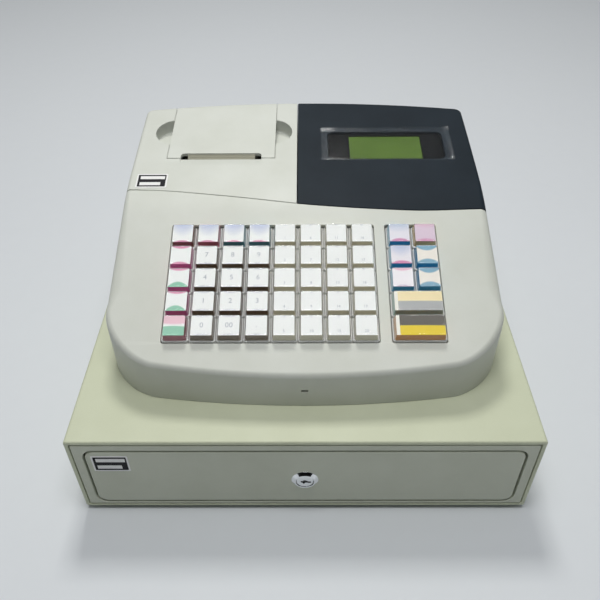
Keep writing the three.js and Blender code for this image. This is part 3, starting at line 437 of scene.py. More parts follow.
def grained(name, colour, tint, roughness=0.5, grain=1800, mottle=25, bump=0.1, spread=0.06,
            metallic=0, edgeShadeAmount=0.3, coat=0, specular=0.5):
    # a moulded, painted or cast finish, with lighter convex edges and painted shade in its hollows
    material, tree, shader, coords = newMaterial(name)
    body = useGroup(tree, mouldGrain, Vector=coords, Colour=colour, Tint=tint, Grain=grain, Mottle=mottle,
                    Roughness=roughness, Spread=spread)
    edged = useGroup(tree, paleEdgesPaintedShade, Vector=coords, Colour=body["Colour"], Amount=edgeShadeAmount,
                      Edge=scaled(colour, finishTuning["edge"], finishTuning["edgeLift"]), Hollow=scaled(colour, finishTuning["hollow"]))
    feed(tree, shader, Base_Color=edged["Colour"], Roughness=body["Roughness"], Metallic=metallic,
         Coat_Weight=coat, Coat_Roughness=finishTuning["coatRoughness"], Specular_IOR_Level=specular)
    roughen(tree, shader, body["Height"], bump, finishTuning["depth"])
    return material


def clearPlastic(name, tint, roughness=0.04, shadow=0.85, bump=0, grain=900, through=1, bend=1.46):
    # clear moulding: glass to the eye, while lamps shine through it
    material, tree, shader, coords = newMaterial(name)
    waves = noise(tree, coords, grain, 3)
    path = tree.nodes.new("ShaderNodeLightPath").outputs
    soft = calc(tree, "MAXIMUM", path["Is Shadow Ray"], path["Is Diffuse Ray"])
    feed(tree, shader, Base_Color=tint, Transmission_Weight=through, IOR=bend,
         Roughness=ranged(tree, waves, 0, 1, 0.6 * roughness, 1.5 * roughness),
         Alpha=calc(tree, "MULTIPLY_ADD", soft, -shadow, 1))
    if bump:
        roughen(tree, shader, waves, bump, 0.0005)
    return material


printFilm = {"side": srgb(250, 248, 238), "roughness": 0.6, "specular": 0.08}


def printed(name, ground, top, bottom, depth=(0.2, 0.2), reach=(1, 1), blur=(0.06, 0.06), margin=0):
    # printed film on a key's face; the pairs are for its top and its bottom patch
    material, tree, shader, coords = newMaterial(name)
    face = tree.nodes.new("ShaderNodeUVMap")
    face.uv_map = "face"
    field = useGroup(tree, arcPrint, Vector=face.outputs["UV"], Ground=ground, Top=top, Bottom=bottom,
                     Top_Depth=depth[0], Bottom_Depth=depth[1], Top_Reach=reach[0], Bottom_Reach=reach[1],
                     Top_Blur=blur[0], Bottom_Blur=blur[1], Side=printFilm["side"], Margin=margin)
    film = useGroup(tree, mouldGrain, Vector=coords, Colour=field["Colour"], Tint=field["Colour"],
                    Roughness=printFilm["roughness"])
    feed(tree, shader, Base_Color=film["Colour"], Roughness=film["Roughness"],
         Specular_IOR_Level=printFilm["specular"])
    return material


# colour, tint of the mottle, roughness, and what else departs from the usual
finishLooks = {
    "casePlastic": (srgb(212, 215, 207), srgb(204, 207, 197), 0.46, {"bump": 0.12}),
    "drawerPaint": (srgb(205, 210, 184), srgb(198, 203, 176), 0.5, {"grain": 1300, "bump": 0.22}),
    "frontPaint": (srgb(206, 210, 193), srgb(198, 202, 184), 0.5, {"grain": 1300, "bump": 0.22}),
    "hoodPlastic": (srgb(34, 43, 51), srgb(29, 37, 44), 0.55, {"bump": 0.14, "edgeShadeAmount": 0.5, "specular": 0.12}),
    "blackPlastic": (srgb(30, 31, 33), srgb(24, 25, 27), 0.42, {}),
    "greyPlastic": (srgb(96, 99, 103), srgb(86, 89, 93), 0.45, {}),
    "barPlastic": (srgb(184, 182, 164), srgb(174, 172, 153), 0.5, {}),
    "printerPlastic": (srgb(112, 106, 90), srgb(102, 96, 80), 0.5, {}),
    "framePlastic": (srgb(205, 206, 202), srgb(196, 198, 193), 0.45, {}),
    "traySteel": (srgb(176, 180, 184), srgb(140, 145, 150), 0.34,
                  {"grain": 220, "mottle": 60, "bump": 0.05, "spread": 0.3, "metallic": 1, "edgeShadeAmount": 0.5}),
    "lockChrome": (srgb(242, 244, 246), srgb(230, 233, 236), 0.1,
                   {"grain": 500, "bump": 0.02, "spread": 0.05, "metallic": 1}),
    "footRubber": (srgb(30, 30, 31), srgb(24, 24, 25), 0.8, {"bump": 0.3}),
    "rollerRubber": (srgb(38, 38, 40), srgb(30, 30, 32), 0.7, {"bump": 0.3}),
    "rollPaper": (srgb(243, 243, 239), srgb(234, 234, 228), 0.75, {"grain": 700}),
    "boardGreen": (srgb(30, 92, 60), srgb(22, 74, 48), 0.35, {"grain": 300, "bump": 0.15, "coat": 0.5}),
    "chipBlack": (srgb(26, 26, 28), srgb(34, 34, 36), 0.5, {}),
    "screenBlack": (srgb(10, 11, 13), srgb(7, 8, 9), 0.6, {"bump": 0.05, "specular": 0.03}),
    "brassPin": (srgb(196, 164, 92), srgb(180, 148, 80), 0.25, {"metallic": 1}),
    "displayGreen": (srgb(88, 112, 44), srgb(80, 104, 38), 0.5,
                     {"grain": 2400, "mottle": 40, "bump": 0.02, "specular": 0.05}),
    "labelWhite": (srgb(240, 240, 238), srgb(232, 232, 230), 0.35, {"bump": 0.03}),
    "labelDark": (srgb(24, 23, 30), srgb(20, 19, 25), 0.5, {"bump": 0.03, "specular": 0.15}),
    "keyInk": (srgb(182, 187, 195), srgb(176, 181, 189), 0.5, {"bump": 0.02, "edgeShadeAmount": 0}),
}
finishes = {
    name: grained(name, colour, tint, roughness, **others)
    for name, (colour, tint, roughness, others) in finishLooks.items()
}
windowClear = clearPlastic("windowClear", (0.93, 0.95, 0.95, 1), roughness=0.03, bend=1.13)
capClear = clearPlastic("capClear", (0.985, 0.99, 0.99, 1), roughness=0.07, shadow=0.92)
filmClear = clearPlastic("filmClear", (0.97, 0.98, 0.99, 1), roughness=0.12, bump=0.08, grain=160, bend=1.14)
# the skirts' finish is mostly white and dull: painted sheen in place of the clear plastic's glints
skirtClear = clearPlastic("skirtClear", (0.99, 0.995, 0.985, 1), roughness=0.22, shadow=0.75, through=0.25)
print("stage: finishes made")


# Trees of Geometry Nodes

def buildRowOfCopies():
    # copies of one object, spaced along a line
    tree = bpy.data.node_groups.new("rowOfCopies", "GeometryNodeTree")
    tree.is_modifier = True
    for name, kind in (("Geometry", "Geometry"), ("Part", "Object"), ("Count", "Int"), ("Start", "Vector"),
                       ("Step", "Vector"), ("Turn", "Vector"), ("Material", "Material")):
        tree.interface.new_socket(name, in_out="INPUT", socket_type="NodeSocket" + kind)
    tree.interface.new_socket("Geometry", in_out="OUTPUT", socket_type="NodeSocketGeometry")
    given = tree.nodes.new("NodeGroupInput").outputs
    line = tree.nodes.new("GeometryNodeMeshLine")
    line.mode = "OFFSET"
    feed(tree, line, Count=given["Count"], Start_Location=given["Start"], Offset=given["Step"])
    part = tree.nodes.new("GeometryNodeObjectInfo")
    part.transform_space = "ORIGINAL"
    feed(tree, part, Object=given["Part"])
    copies = feed(tree, tree.nodes.new("GeometryNodeInstanceOnPoints"), Points=line.outputs["Mesh"],
                  Instance=part.outputs["Geometry"], Rotation=given["Turn"])
    real = feed(tree, tree.nodes.new("GeometryNodeRealizeInstances"), Geometry=copies.outputs["Instances"])
    paint = feed(tree, tree.nodes.new("GeometryNodeSetMaterial"), Geometry=real.outputs["Geometry"],
                 Material=given["Material"])
    feed(tree, tree.nodes.new("NodeGroupOutput"), Geometry=paint.outputs["Geometry"])
    return tree


rowOfCopies = buildRowOfCopies()


def copiesInRow(name, part, count, start, step, material, turn=(0, 0, 0)):
    # a plain mesh from the tree, whose inputs are set by their identifiers
    values = {"Part": part, "Count": count, "Start": Vector(start), "Step": Vector(step), "Turn": Vector(turn),
              "Material": material}
    obj = bpy.data.objects.new(name, bpy.data.meshes.new(name))
    modifier = obj.modifiers.new("tree", "NODES")
    modifier.node_group = rowOfCopies
    for item in rowOfCopies.interface.items_tree:
        if item.item_type == "SOCKET" and item.in_out == "INPUT" and item.name in values:
            modifier[item.identifier] = values[item.name]
    workshop.objects.link(obj)
    return settled(obj)


# The register's case: a plan outline that bows at both ends, a top that bends behind the keys

case = {
    "front": 32, "rear": 303, "halfWidth": 144.2, "rearHalfWidth": 141.9, "wall": 2.5,
    "corner": 38, "cornerPower": 1.8, "rearCorner": 6, "frontBow": 14.3, "rearBow": 11,
    "frontRise": 31.4, "plateSlope": 20.7, "bendStart": 158, "bendLength": 24, "rearSlope": 10, "endSlope": 7,
    "frontRound": 3, "cornerRound": 4.5, "sideRound": 12, "rearRound": 3, "endRound": 3.9,
    "fadeIn": 0.1, "fadeOut": 0.55, "edgeDrop": 5.5, "standGap": 0.4, "wallFrom": 20,
    "frontSteps": 12, "cornerSteps": 20, "sideSteps": 70, "rearCornerSteps": 10, "rearSteps": 8, "edgeSteps": 9,
}
seam = {
    "gap": 0.5, "round": 0.55, "splitX": -5.6, "steps": 72, "splitSteps": 24, "reach": 122, "below": 2,
    "leftWay": (-1, 0.02), "rightWay": (1, 0.03),
    "shares": [(-1.1, 0.562), (-0.8, 0.555), (-0.43, 0.532), (-0.04, 0.503), (0.23, 0.489), (0.53, 0.479),
               (0.68, 0.4772), (0.85, 0.48), (1.1, 0.487)],
}
caseBase = housingTop + case["standGap"]
plateZ = housingTop + case["frontRise"]
plateTan = math.tan(math.radians(case["plateSlope"]))
rearTan = math.tan(math.radians(case["rearSlope"]))
endTan = math.tan(math.radians(case["endSlope"]))
bendEnd = case["bendStart"] + case["bendLength"]


def lerp(a, b, share):
    return a + (b - a) * share


def topHeight(y):
    height = plateZ + plateTan * (min(y, case["bendStart"]) - case["front"])
    inBend = max(0, min(y - case["bendStart"], case["bendLength"]))
    height += plateTan * inBend + (rearTan - plateTan) * inBend ** 2 / (2 * case["bendLength"])
    behind = max(y - bendEnd, 0)
    return height + rearTan * behind + (endTan - rearTan) * behind ** 2 / (2 * (case["rear"] - bendEnd))


def bowed(x, y):
    share = (y - case["front"]) / (case["rear"] - case["front"])
    across = (x / case["halfWidth"]) ** 2
    return y + case["frontBow"] * across * (1 - share) - case["rearBow"] * across * share


def caseOutline():
    # right half of the plan from front to rear, with the width of the rounded top edge
    samples = []
    cornerX = case["halfWidth"] - case["corner"]
    cornerY = case["front"] + case["corner"]
    for i in range(case["frontSteps"]):
        samples.append((cornerX * i / case["frontSteps"], case["front"], case["frontRound"]))
    for i in range(case["cornerSteps"]):
        share = i / case["cornerSteps"]
        angle = math.pi / 2 * share
        power = 2 / case["cornerPower"]
        samples.append((cornerX + case["corner"] * math.sin(angle) ** power,
                        cornerY - case["corner"] * math.cos(angle) ** power,
                        lerp(case["frontRound"], case["cornerRound"], share)))
    rearX = case["rearHalfWidth"] - case["rearCorner"]
    rearY = case["rear"] - case["rearCorner"]
    endRound = min(case["endRound"], case["rearCorner"] / 2)
    for i in range(case["sideSteps"]):
        share = i / case["sideSteps"]
        swelling = lerp(case["cornerRound"], case["sideRound"], min(1, share / case["fadeIn"]))
        fading = lerp(case["sideRound"], endRound, min(1, share / case["fadeOut"]))
        samples.append((lerp(case["halfWidth"], case["rearHalfWidth"], share), lerp(cornerY, rearY, share),
                        min(swelling, fading)))
    for i in range(case["rearCornerSteps"]):
        share = i / case["rearCornerSteps"]
        angle = math.pi / 2 * share
        samples.append((rearX + case["rearCorner"] * math.cos(angle), rearY + case["rearCorner"] * math.sin(angle),
                        lerp(endRound, case["rearRound"], share)))
    for i in range(case["rearSteps"] + 1):
        samples.append((rearX * (1 - i / case["rearSteps"]), case["rear"], case["rearRound"]))
    return [(Vector((x, bowed(x, y))), edge) for x, y, edge in samples]


def inwardAt(points, i):
    # direction into the case, scaled so that an offset keeps its distance
    def mirrored(p):
        return Vector((-p.x, p.y))
    here = points[i]
    before = points[i - 1] if i > 0 else mirrored(points[1])
    after = points[i + 1] if i < len(points) - 1 else mirrored(points[-2])
    first = Vector((before.y - here.y, here.x - before.x)).normalized()
    second = Vector((here.y - after.y, after.x - here.x)).normalized()
    inward = (first + second).normalized()
    return inward / inward.dot(first)


outline = caseOutline()
outlineInward = [inwardAt([p for p, _ in outline], i) for i in range(len(outline))]


def caseBody(name, inset, low):
    rings = []

    def addRing(heightAt, insetAt):
        ring = []
        for (point, edge), inward in zip(outline, outlineInward):
            at = point + inward * insetAt(edge)
            ring.append(Vector((at.x, at.y, heightAt(at.y, edge))))
        rings.append(ring)
    addRing(lambda y, edge: low, lambda edge: inset)
    for sine, cosine in quarter(case["edgeSteps"]):
        addRing(
            lambda y, edge: topHeight(y) - inset - max(min(case["edgeDrop"], edge) - inset, leastGap) * (1 - sine),
            lambda edge: inset + max(edge - inset, leastGap) * (1 - cosine),
        )
    half = len(rings[0])
    around = 2 * half - 2
    verts = []
    for ring in rings:
        verts.extend(ring)
        verts.extend(Vector((-p.x, p.y, p.z)) for p in reversed(ring[1:-1]))
    faces = []
    for level in range(len(rings) - 1):
        for i in range(around):
            j = (i + 1) % around
            a = level * around
            faces.append((a + i, a + j, a + around + j, a + around + i))
    top = (len(rings) - 1) * around
    for i in range(half - 1):
        right, rightNext, leftNext, left = i, i + 1, around - i - 1, (around - i) % around
        quad = []
        for corner in (right, rightNext, leftNext, left):
            if corner not in quad:
                quad.append(corner)
        faces.append(tuple(top + corner for corner in quad))
        faces.append(tuple(reversed(quad)))
    return newObject(name, verts, faces)


def splinePoints(points, steps):
    # a smooth curve through plan points, evenly spread by index
    result = []
    for k in range(steps + 1):
        t = k / steps * (len(points) - 1)
        i = min(int(t), len(points) - 2)
        p = [Vector(points[max(0, min(len(points) - 1, i + d))]) for d in (-1, 0, 1, 2)]
        w = t - i
        v0 = (p[2] - p[0]) / 2
        v1 = (p[3] - p[1]) / 2
        cubic = 2 * p[1] - 2 * p[2] + v0 + v1
        square = 3 * p[2] - 3 * p[1] - 2 * v0 - v1
        result.append(cubic * w ** 3 + square * w ** 2 + v0 * w + p[1])
    return result


seamPoints = splinePoints([
    (x * case["halfWidth"], lerp(case["front"], case["rear"], y)) for x, y in seam["shares"]
], seam["steps"])
seamEnd = seamPoints[-1].x
skyZ = topHeight(case["rear"]) + 4 * past


def frontRegion():
    line = [(p.x, p.y - seam["gap"] / 2) for p in seamPoints]
    front = case["front"] - past
    return prism("frontRegion", [(-seamEnd, front), (seamEnd, front)] + line[::-1], "z", housingTop - past, skyZ)


def rearRegion(x0, x1):
    line = [(p.x, p.y + seam["gap"] / 2) for p in seamPoints]
    far = case["rear"] + 2 * past
    behind = prism("rearRegion", line + [(seamEnd, far), (-seamEnd, far)], "z", housingTop - past, skyZ)
    return keep(behind, block("strip", x0, x1, case["front"], far + past, housingTop - past, skyZ))


plainBody = caseBody("plainBody", 0, caseBase)
bpy.context.view_layer.update()
caseRays = BVHTree.FromObject(plainBody, bpy.context.evaluated_depsgraph_get())


def above(x, y):
    # the point on the case's top at x, y, and its normal
    return caseRays.ray_cast(Vector((x, y, skyZ)), Vector((0, 0, -1)))[:2]


def overEdge(x, y, outward, low, steps=14, reach=15):
    # from the top at x, y over the rounded edge and down the wall
    centre = above(x, y)[0] - Vector((0, 0, reach))
    outward = Vector((*outward, 0)).normalized()
    path = []
    for i in range(steps + 1):
        angle = math.pi / 2 * (1 - i / steps)
        path.append(caseRays.ray_cast(centre, outward * math.cos(angle) + Vector((0, 0, math.sin(angle))))[:2])
    wall = max(low, caseBase + 0.1)
    point, normal = caseRays.ray_cast(Vector((centre.x, centre.y, wall)), outward)[:2]
    path.append((point, normal))
    if low < caseBase:
        path.append((Vector((point.x, point.y, low)), normal))
    return path


def edgeProfile(gap, radius, steps=3):
    # across a seam: both edges are rounded down to the gap's walls
    arc = [(gap + radius * (1 - sine), 0.03 - radius * (1 - cosine)) for sine, cosine in quarter(steps)]
    arc[-1] = (gap * 0.9, -radius)
    right = [(gap + radius * 1.1, radius)] + arc
    return right + [(-s, h) for s, h in reversed(right)]


def groove(name, path, profile, closed=False):
    rings = []
    last = len(path) - 1
    for i, (point, normal) in enumerate(path):
        before = path[i - 1][0] if i > 0 or closed else point
        after = path[(i + 1) % len(path)][0] if i < last or closed else point
        side = (after - before).cross(normal).normalized()
        rings.append([point + side * s + normal * h for s, h in profile])
    return lofted(name, rings, closed)


# The lid over the paper, the finger grips beside it and the paper slot in front of it

lid = {
    "width": 90.7, "centreX": -69.65, "frontY": 222, "tail": 10, "ledge": 4, "ledgeThick": 1.6, "gap": 0.4,
    "grooveRound": 0.45, "rayFrom": 30, "slotWidth": 67.7, "slotDepth": 6.2, "slotCorner": 3,
    "rampLength": 7, "rampDrop": 1.2, "mouthDeep": 30,
    "hingeRadius": 3, "hingePin": 1.3, "hingeLength": 9, "hingeInset": 20, "barrelSides": 32, "pinSides": 24,
    "frontSteps": 4, "sideSteps": 16, "rearSteps": 8,
}
grip = {
    "radius": 17.2, "inset": 3.4, "y": 257.9, "depth": 9, "wall": 1.8, "floorRound": 1.6, "sides": 72,
    "edgeGap": 0.02, "edgeRound": 0.6, "edgeSteps": 32, "clear": 0.9,
}
lidLeft = lid["centreX"] - lid["width"] / 2
lidRight = lid["centreX"] + lid["width"] / 2
lidLowZ = topHeight(case["rear"]) - lid["tail"]
lidTailY = bowed(lidLeft, case["rear"]) - 2 * case["wall"] - lid["ledgeThick"]
hingeY = case["rear"] + lid["hingeRadius"] + fitGap
gripX = (lidLeft + grip["inset"], lidRight - grip["inset"])
gripFloor = topHeight(grip["y"]) - grip["depth"]


def lidZone(margin):
    low, tail = topHeight(lid["frontY"]) - 2 * grip["depth"], lidLowZ - margin
    far = case["rear"] + 2 * past
    front = lid["frontY"] - margin
    side = [(front, low), (lidTailY, low), (lidTailY, tail), (far, tail), (far, skyZ), (front, skyZ)]
    return prism("lidZone", side, "x", lidLeft - margin, lidRight + margin)


def seamGrooves():
    profile = edgeProfile(seam["gap"] / 2, seam["round"])
    inner = [p for p in seamPoints if abs(p.x) < seam["reach"]]
    low, steps = caseBase - seam["below"], seam["splitSteps"]
    left = overEdge(inner[0].x, inner[0].y, seam["leftWay"], low)
    right = overEdge(inner[-1].x, inner[-1].y, seam["rightWay"], low)
    across = left[::-1] + [above(p.x, p.y) for p in inner[1:-1]] + right
    split = seam["splitX"]
    start = min(seamPoints, key=lambda p: abs(p.x - split)).y
    wall = case["rear"] - case["wallFrom"]
    along = [above(split, lerp(start, wall, i / steps)) for i in range(steps)]
    along += overEdge(split, wall, (0, 1), low)
    return [groove("seamGroove", across, profile), groove("splitGroove", along, profile)]


def lidGrooves():
    profile = edgeProfile(lid["gap"] / 2, lid["grooveRound"])
    front, wall = lid["frontY"] - lid["gap"] / 2, case["rear"] - case["wallFrom"]

    def acrossLid(steps):
        return [lerp(lidLeft - lid["gap"], lidRight + lid["gap"], i / steps) for i in range(steps + 1)]
    grooves = [groove("lidFront", [above(x, front) for x in acrossLid(lid["frontSteps"])], profile)]
    for x in (lidLeft - lid["gap"] / 2, lidRight + lid["gap"] / 2):
        path = [above(x, lerp(front, wall, i / lid["sideSteps"])) for i in range(lid["sideSteps"])]
        path += overEdge(x, wall, (0, 1), lidLowZ - lid["gap"])
        grooves.append(groove("lidSide", path, profile))
    low = []
    for x in acrossLid(lid["rearSteps"]):
        inside = Vector((x, case["rear"] - lid["rayFrom"], lidLowZ - lid["gap"] / 2))
        low.append(caseRays.ray_cast(inside, Vector((0, 1, 0)))[:2])
    grooves.append(groove("lidLow", low, profile))
    return grooves


def gripGrooves():
    # round the edge of each grip, outside the lid only
    grooves, steps = [], grip["edgeSteps"]
    for centre, side in zip(gripX, (-1, 1)):
        edge = lidLeft if side < 0 else lidRight
        reach = math.acos((abs(edge - centre) + grip["clear"]) / grip["radius"])
        path = []
        for i in range(steps + 1):
            angle = lerp(-reach, reach, i / steps)
            x = centre + side * grip["radius"] * math.cos(angle)
            y = grip["y"] + grip["radius"] * math.sin(angle)
            path.append(above(x, y))
        grooves.append(groove("gripGroove", path, edgeProfile(grip["edgeGap"], grip["edgeRound"])))
    return grooves


def gripCutter(x):
    r, soft = grip["radius"], grip["floorRound"]
    bottom = [(r - soft + soft * sine, gripFloor + soft * (1 - cosine)) for sine, cosine in quarter(4)]
    profile = [(0, gripFloor)] + bottom + [(r, skyZ), (0, skyZ)]
    return lathe("gripCutter", profile, "z", x, grip["y"], grip["sides"], closed=False)


def slotCutter():
    x, y, half, deep = lid["centreX"], lid["frontY"], lid["slotWidth"] / 2, lid["slotDepth"]
    plan = roundRect(x - half, x + half, y - deep, y + deep, lid["slotCorner"], 8)
    return prism("slotCutter", plan, "z", housingTop, skyZ)


groovedBody = cut(plainBody, *seamGrooves(), *lidGrooves(), *gripGrooves())
shellBody = cut(twin(groovedBody, "shellBody"), caseBody("hollow", case["wall"], caseBase - past))
print("stage: case body", len(groovedBody.data.polygons))


# The keyboard's plane: across, up the slope and out of the plate

keys = {
    "pitch": 19.3, "rows": 5, "numbers": 4, "groups": 4, "gapShare": 0.464, "top": 8, "skirt": 2.5,
    "dish": 0.1, "lean": 0.6, "skirtTop": 2, "rib": 1.15, "ribDeep": 0.16,
    "faceAcross": 7.35, "faceUp": 7.5, "faceLow": 7, "faceHigh": 7.14, "faceCorner": 0.5,
    "numeral": 5.6, "numeralUp": 0.6, "groupNumeral": 3, "groupNumeralUp": -4, "ink": 0.015, "inkLift": 0.03,
    "stem": 6, "stemReach": 13.5, "stemRound": 0.5, "stemInto": 0.5, "boardX": -24.15, "boardY": 100.7,
    "wellMargin": 0.4, "wellRear": 3, "wellCorner": 1.6, "wellRound": 0.4,
}
mainColumns = keys["numbers"] + keys["groups"]
keyPlane = (
    Matrix.Translation((0, keys["boardY"], plateZ + plateTan * (keys["boardY"] - case["front"])))
    @ Matrix.Rotation(math.radians(case["plateSlope"]), 4, "X")
)


def rowV(row):
    return ((keys["rows"] - 1) / 2 - row) * keys["pitch"]


def columnX(column):
    extra = keys["gapShare"] * keys["pitch"] if column >= mainColumns else 0
    return keys["boardX"] + (column - (mainColumns - 1) / 2) * keys["pitch"] + extra


mainLeft = columnX(0) - keys["pitch"] / 2 - keys["wellMargin"]
mainRight = columnX(mainColumns - 1) + keys["pitch"] / 2 + keys["wellMargin"]
sideLeft = columnX(mainColumns) - keys["pitch"] / 2 - keys["wellMargin"]
sideRight = sideLeft + 2 * keys["pitch"] + 2 * keys["wellMargin"]
wellFront = rowV(keys["rows"] - 1) - keys["pitch"] / 2 - keys["wellMargin"]
wellRear = rowV(0) + keys["pitch"] / 2 + keys["wellRear"]


def flaredHole(name, u0, u1, v0, v1, corner, radius, matrix, deep, steps=4):
    # a hole whose upper edge is rounded, in a plane of its own
    rings = [(0, -deep), (0, -radius)]
    rings += [(radius * (1 - cosine), radius * (sine - 1) + 0.02) for sine, cosine in quarter(steps)[1:]]
    rings.append((radius, past))
    loft = lofted(name, [
        [Vector((u, v, w)) for u, v in roundRect(u0 - grow, u1 + grow, v0 - grow, v1 + grow, corner + grow)]
        for grow, w in rings
    ])
    loft.data.transform(matrix)
    return loft


mark = {"rise": 15.4, "width": 5, "height": 2.4, "corner": 0.5}  # slit in the middle of the front wall


def keyboardCover():
    cover = keep(twin(shellBody, "keyboardCover"), frontRegion())
    wells = [
        flaredHole("well", left, right, wellFront, wellRear, keys["wellCorner"], keys["wellRound"], keyPlane, past)
        for left, right in ((mainLeft, mainRight), (sideLeft, sideRight))
    ]
    cover = cut(cover, *wells)
    z, across, up = caseBase + mark["rise"], mark["width"] / 2, mark["height"] / 2
    slit = prism("mark", roundRect(-across, across, z - up, z + up, mark["corner"], 4),
                 "y", case["front"] - past, case["front"] + past)
    return smooth(cut(cover, slit))


place(keyboardCover(), "keyboardCover", finishes["casePlastic"], "register", "case_plastic", "keyboard_cover")


def printerCover():
    cover = keep(twin(shellBody, "printerCover"), rearRegion(-seamEnd, seam["splitX"] - seam["gap"] / 2))
    inner = caseBody("inner", case["wall"] / 2, caseBase)
    for x in gripX:
        r, low = grip["radius"] + grip["wall"], gripFloor - grip["wall"]
        cover = join(cover, keep(bar("cup", "z", r, low, skyZ, x, grip["y"], grip["sides"]), inner))
    seat = case["wall"] + leastGap
    ledge = cut(twin(inner, "ledge"), caseBody("under", seat + lid["ledgeThick"], caseBase - past))
    cover = join(cover, keep(ledge, lidZone(lid["ledge"])))
    slotted = cut(lidZone(0), caseBody("seat", seat, caseBase))
    low = topHeight(lid["frontY"]) - lid["mouthDeep"]
    mouth = block("mouth", lidLeft + lid["ledge"], lidRight - lid["ledge"],
                  lid["frontY"] + lid["ledge"], lidTailY, low, skyZ)
    half = lid["slotWidth"] / 2
    gate = block("gate", lid["centreX"] - half, lid["centreX"] + half,
                 lid["frontY"] - leastGap, lid["frontY"] + lid["ledge"] + past, low, skyZ)
    front = lid["frontY"] - lid["rampLength"]
    rampTop = topHeight(lid["frontY"])
    ramp = prism("ramp", [
        (front, topHeight(front)), (lid["frontY"] + leastGap, rampTop - lid["rampDrop"]),
        (lid["frontY"] + leastGap, rampTop + past), (front, rampTop + past),
    ], "x", lid["centreX"] - half, lid["centreX"] + half)
    cover = cut(cover, slotted, mouth, gripCutter(gripX[0]), gripCutter(gripX[1]), gate, ramp)
    for x in (lidLeft + lid["hingeInset"], lidRight - lid["hingeInset"]):
        side = 1 if x < lid["centreX"] else -1
        near, far = sorted((x, x + side * lid["hingeLength"]))
        wallY = bowed(x, case["rear"]) - case["wall"] / 2
        arm = block("arm", near, far, wallY, hingeY, lidLowZ - lid["hingeRadius"], lidLowZ - fitGap)
        barrel = bar("barrel", "x", lid["hingeRadius"], near, far, hingeY, lidLowZ, lid["barrelSides"])
        pinEnds = sorted((x - side * (lid["hingeLength"] + fitGap), x + side * lid["hingeLength"]))
        pin = bar("pin", "x", lid["hingePin"], *pinEnds, hingeY, lidLowZ, lid["pinSides"])
        cover = join(cover, arm, barrel, pin)
    return smooth(cover)


place(printerCover(), "printerCover", finishes["casePlastic"], "register", "case_plastic", "printer_cover")


def paperLid():
    plate = keep(twin(shellBody, "paperLid"), lidZone(-lid["gap"]))
    plate = cut(plate, slotCutter())
    for x in (lidLeft + lid["hingeInset"], lidRight - lid["hingeInset"]):
        side = -1 if x < lid["centreX"] else 1
        far = x + side * lid["hingeLength"]
        x0, x1 = (far, x - fitGap) if side < 0 else (x + fitGap, far)
        wallY = bowed(x, case["rear"]) - case["wall"] / 2
        arm = block("arm", x0, x1, wallY, hingeY, lidLowZ + fitGap, lidLowZ + lid["hingeRadius"])
        barrel = bar("barrel", "x", lid["hingeRadius"], x0, x1, hingeY, lidLowZ, lid["barrelSides"])
        bore = bar("bore", "x", lid["hingePin"] + fitGap, x0 - past, x1 + past, hingeY, lidLowZ, lid["pinSides"])
        plate = cut(join(plate, arm, barrel), bore)
    return smooth(plate)


place(paperLid(), "paperLid", finishes["casePlastic"], "paper_lid", "case_plastic", "paper_lid")

tearBar = {
    "width": 56.6, "front": 223.2, "rear": 227.6, "drop": 4.6, "rise": 0.8, "steps": 4, "thick": 2, "tread": 0.35,
    "nose": 0.25,
}


def ribbedBar():
    # the tear bar in the paper slot: steps along its length that climb to the rear
    half, count = tearBar["width"] / 2, tearBar["steps"]
    front, rear, tread = tearBar["front"], tearBar["rear"], tearBar["tread"]
    low, high = topHeight(front) - tearBar["drop"], topHeight(rear) - tearBar["rise"]
    side = [(front, low - tearBar["thick"]), (rear, low - tearBar["thick"]), (rear, high)]
    for i in range(count, 0, -1):
        y, z = lerp(front, rear, i / count), lerp(low, high, i / count)
        before, below = lerp(front, rear, (i - 1) / count), lerp(low, high, (i - 1) / count)
        side += [(y - tread, z), (before + tearBar["nose"], below + tread), (before, below)]
    return prism("tearBar", side, "x", lid["centreX"] - half, lid["centreX"] + half)


place(smooth(ribbedBar(), 50), "tearBar", finishes["barPlastic"], "register", "grey_plastic")
print("stage: case covers")


# Display in the hood

display = {
    "x": 69.5, "y": 238.6, "width": 98.4, "length": 36.4, "corner": 5, "border": 4, "sink": 3, "round": 0.8,
    "lensThick": 1.2, "lensSink": 0.6, "moduleThick": 7, "glassWidth": 61.4, "glassLength": 30.8,
    "riseInset": 1.5, "rise": 1, "recess": 1.2, "recessCorner": 0.6, "recessRound": 0.4,
    "glassGap": 0.1, "glassThick": 0.25, "lensEdge": 0.25, "glassEdge": 0.08,
}
displayTan = lerp(rearTan, endTan, (display["y"] - bendEnd) / (case["rear"] - bendEnd))
displayPlane = (
    Matrix.Translation((display["x"], display["y"], topHeight(display["y"])))
    @ Matrix.Rotation(math.atan(displayTan), 4, "X")
)
port = {"x": 48, "width": 52, "height": 18, "rise": 8}


def displayHood():
    hood = keep(twin(shellBody, "displayHood"), rearRegion(seam["splitX"] + seam["gap"] / 2, seamEnd))
    w, l, border = display["width"] / 2, display["length"] / 2, display["border"]
    rim = block("rim", -w - border, w + border, -l - border, l + border, -display["sink"], -case["wall"] / 2)
    rim.data.transform(displayPlane)
    hole = flaredHole("window", -w, w, -l, l, display["corner"], display["round"], displayPlane,
                      past + display["sink"])
    low = housingTop + port["rise"]
    portHole = block("portHole", port["x"] - port["width"] / 2, port["x"] + port["width"] / 2,
                     case["rear"] - case["rearBow"] - 2 * past, case["rear"] + past, low, low + port["height"])
    return smooth(cut(join(hood, rim), hole, portHole))


place(displayHood(), "displayHood", finishes["hoodPlastic"], "register", "hood_plastic", "display_hood")


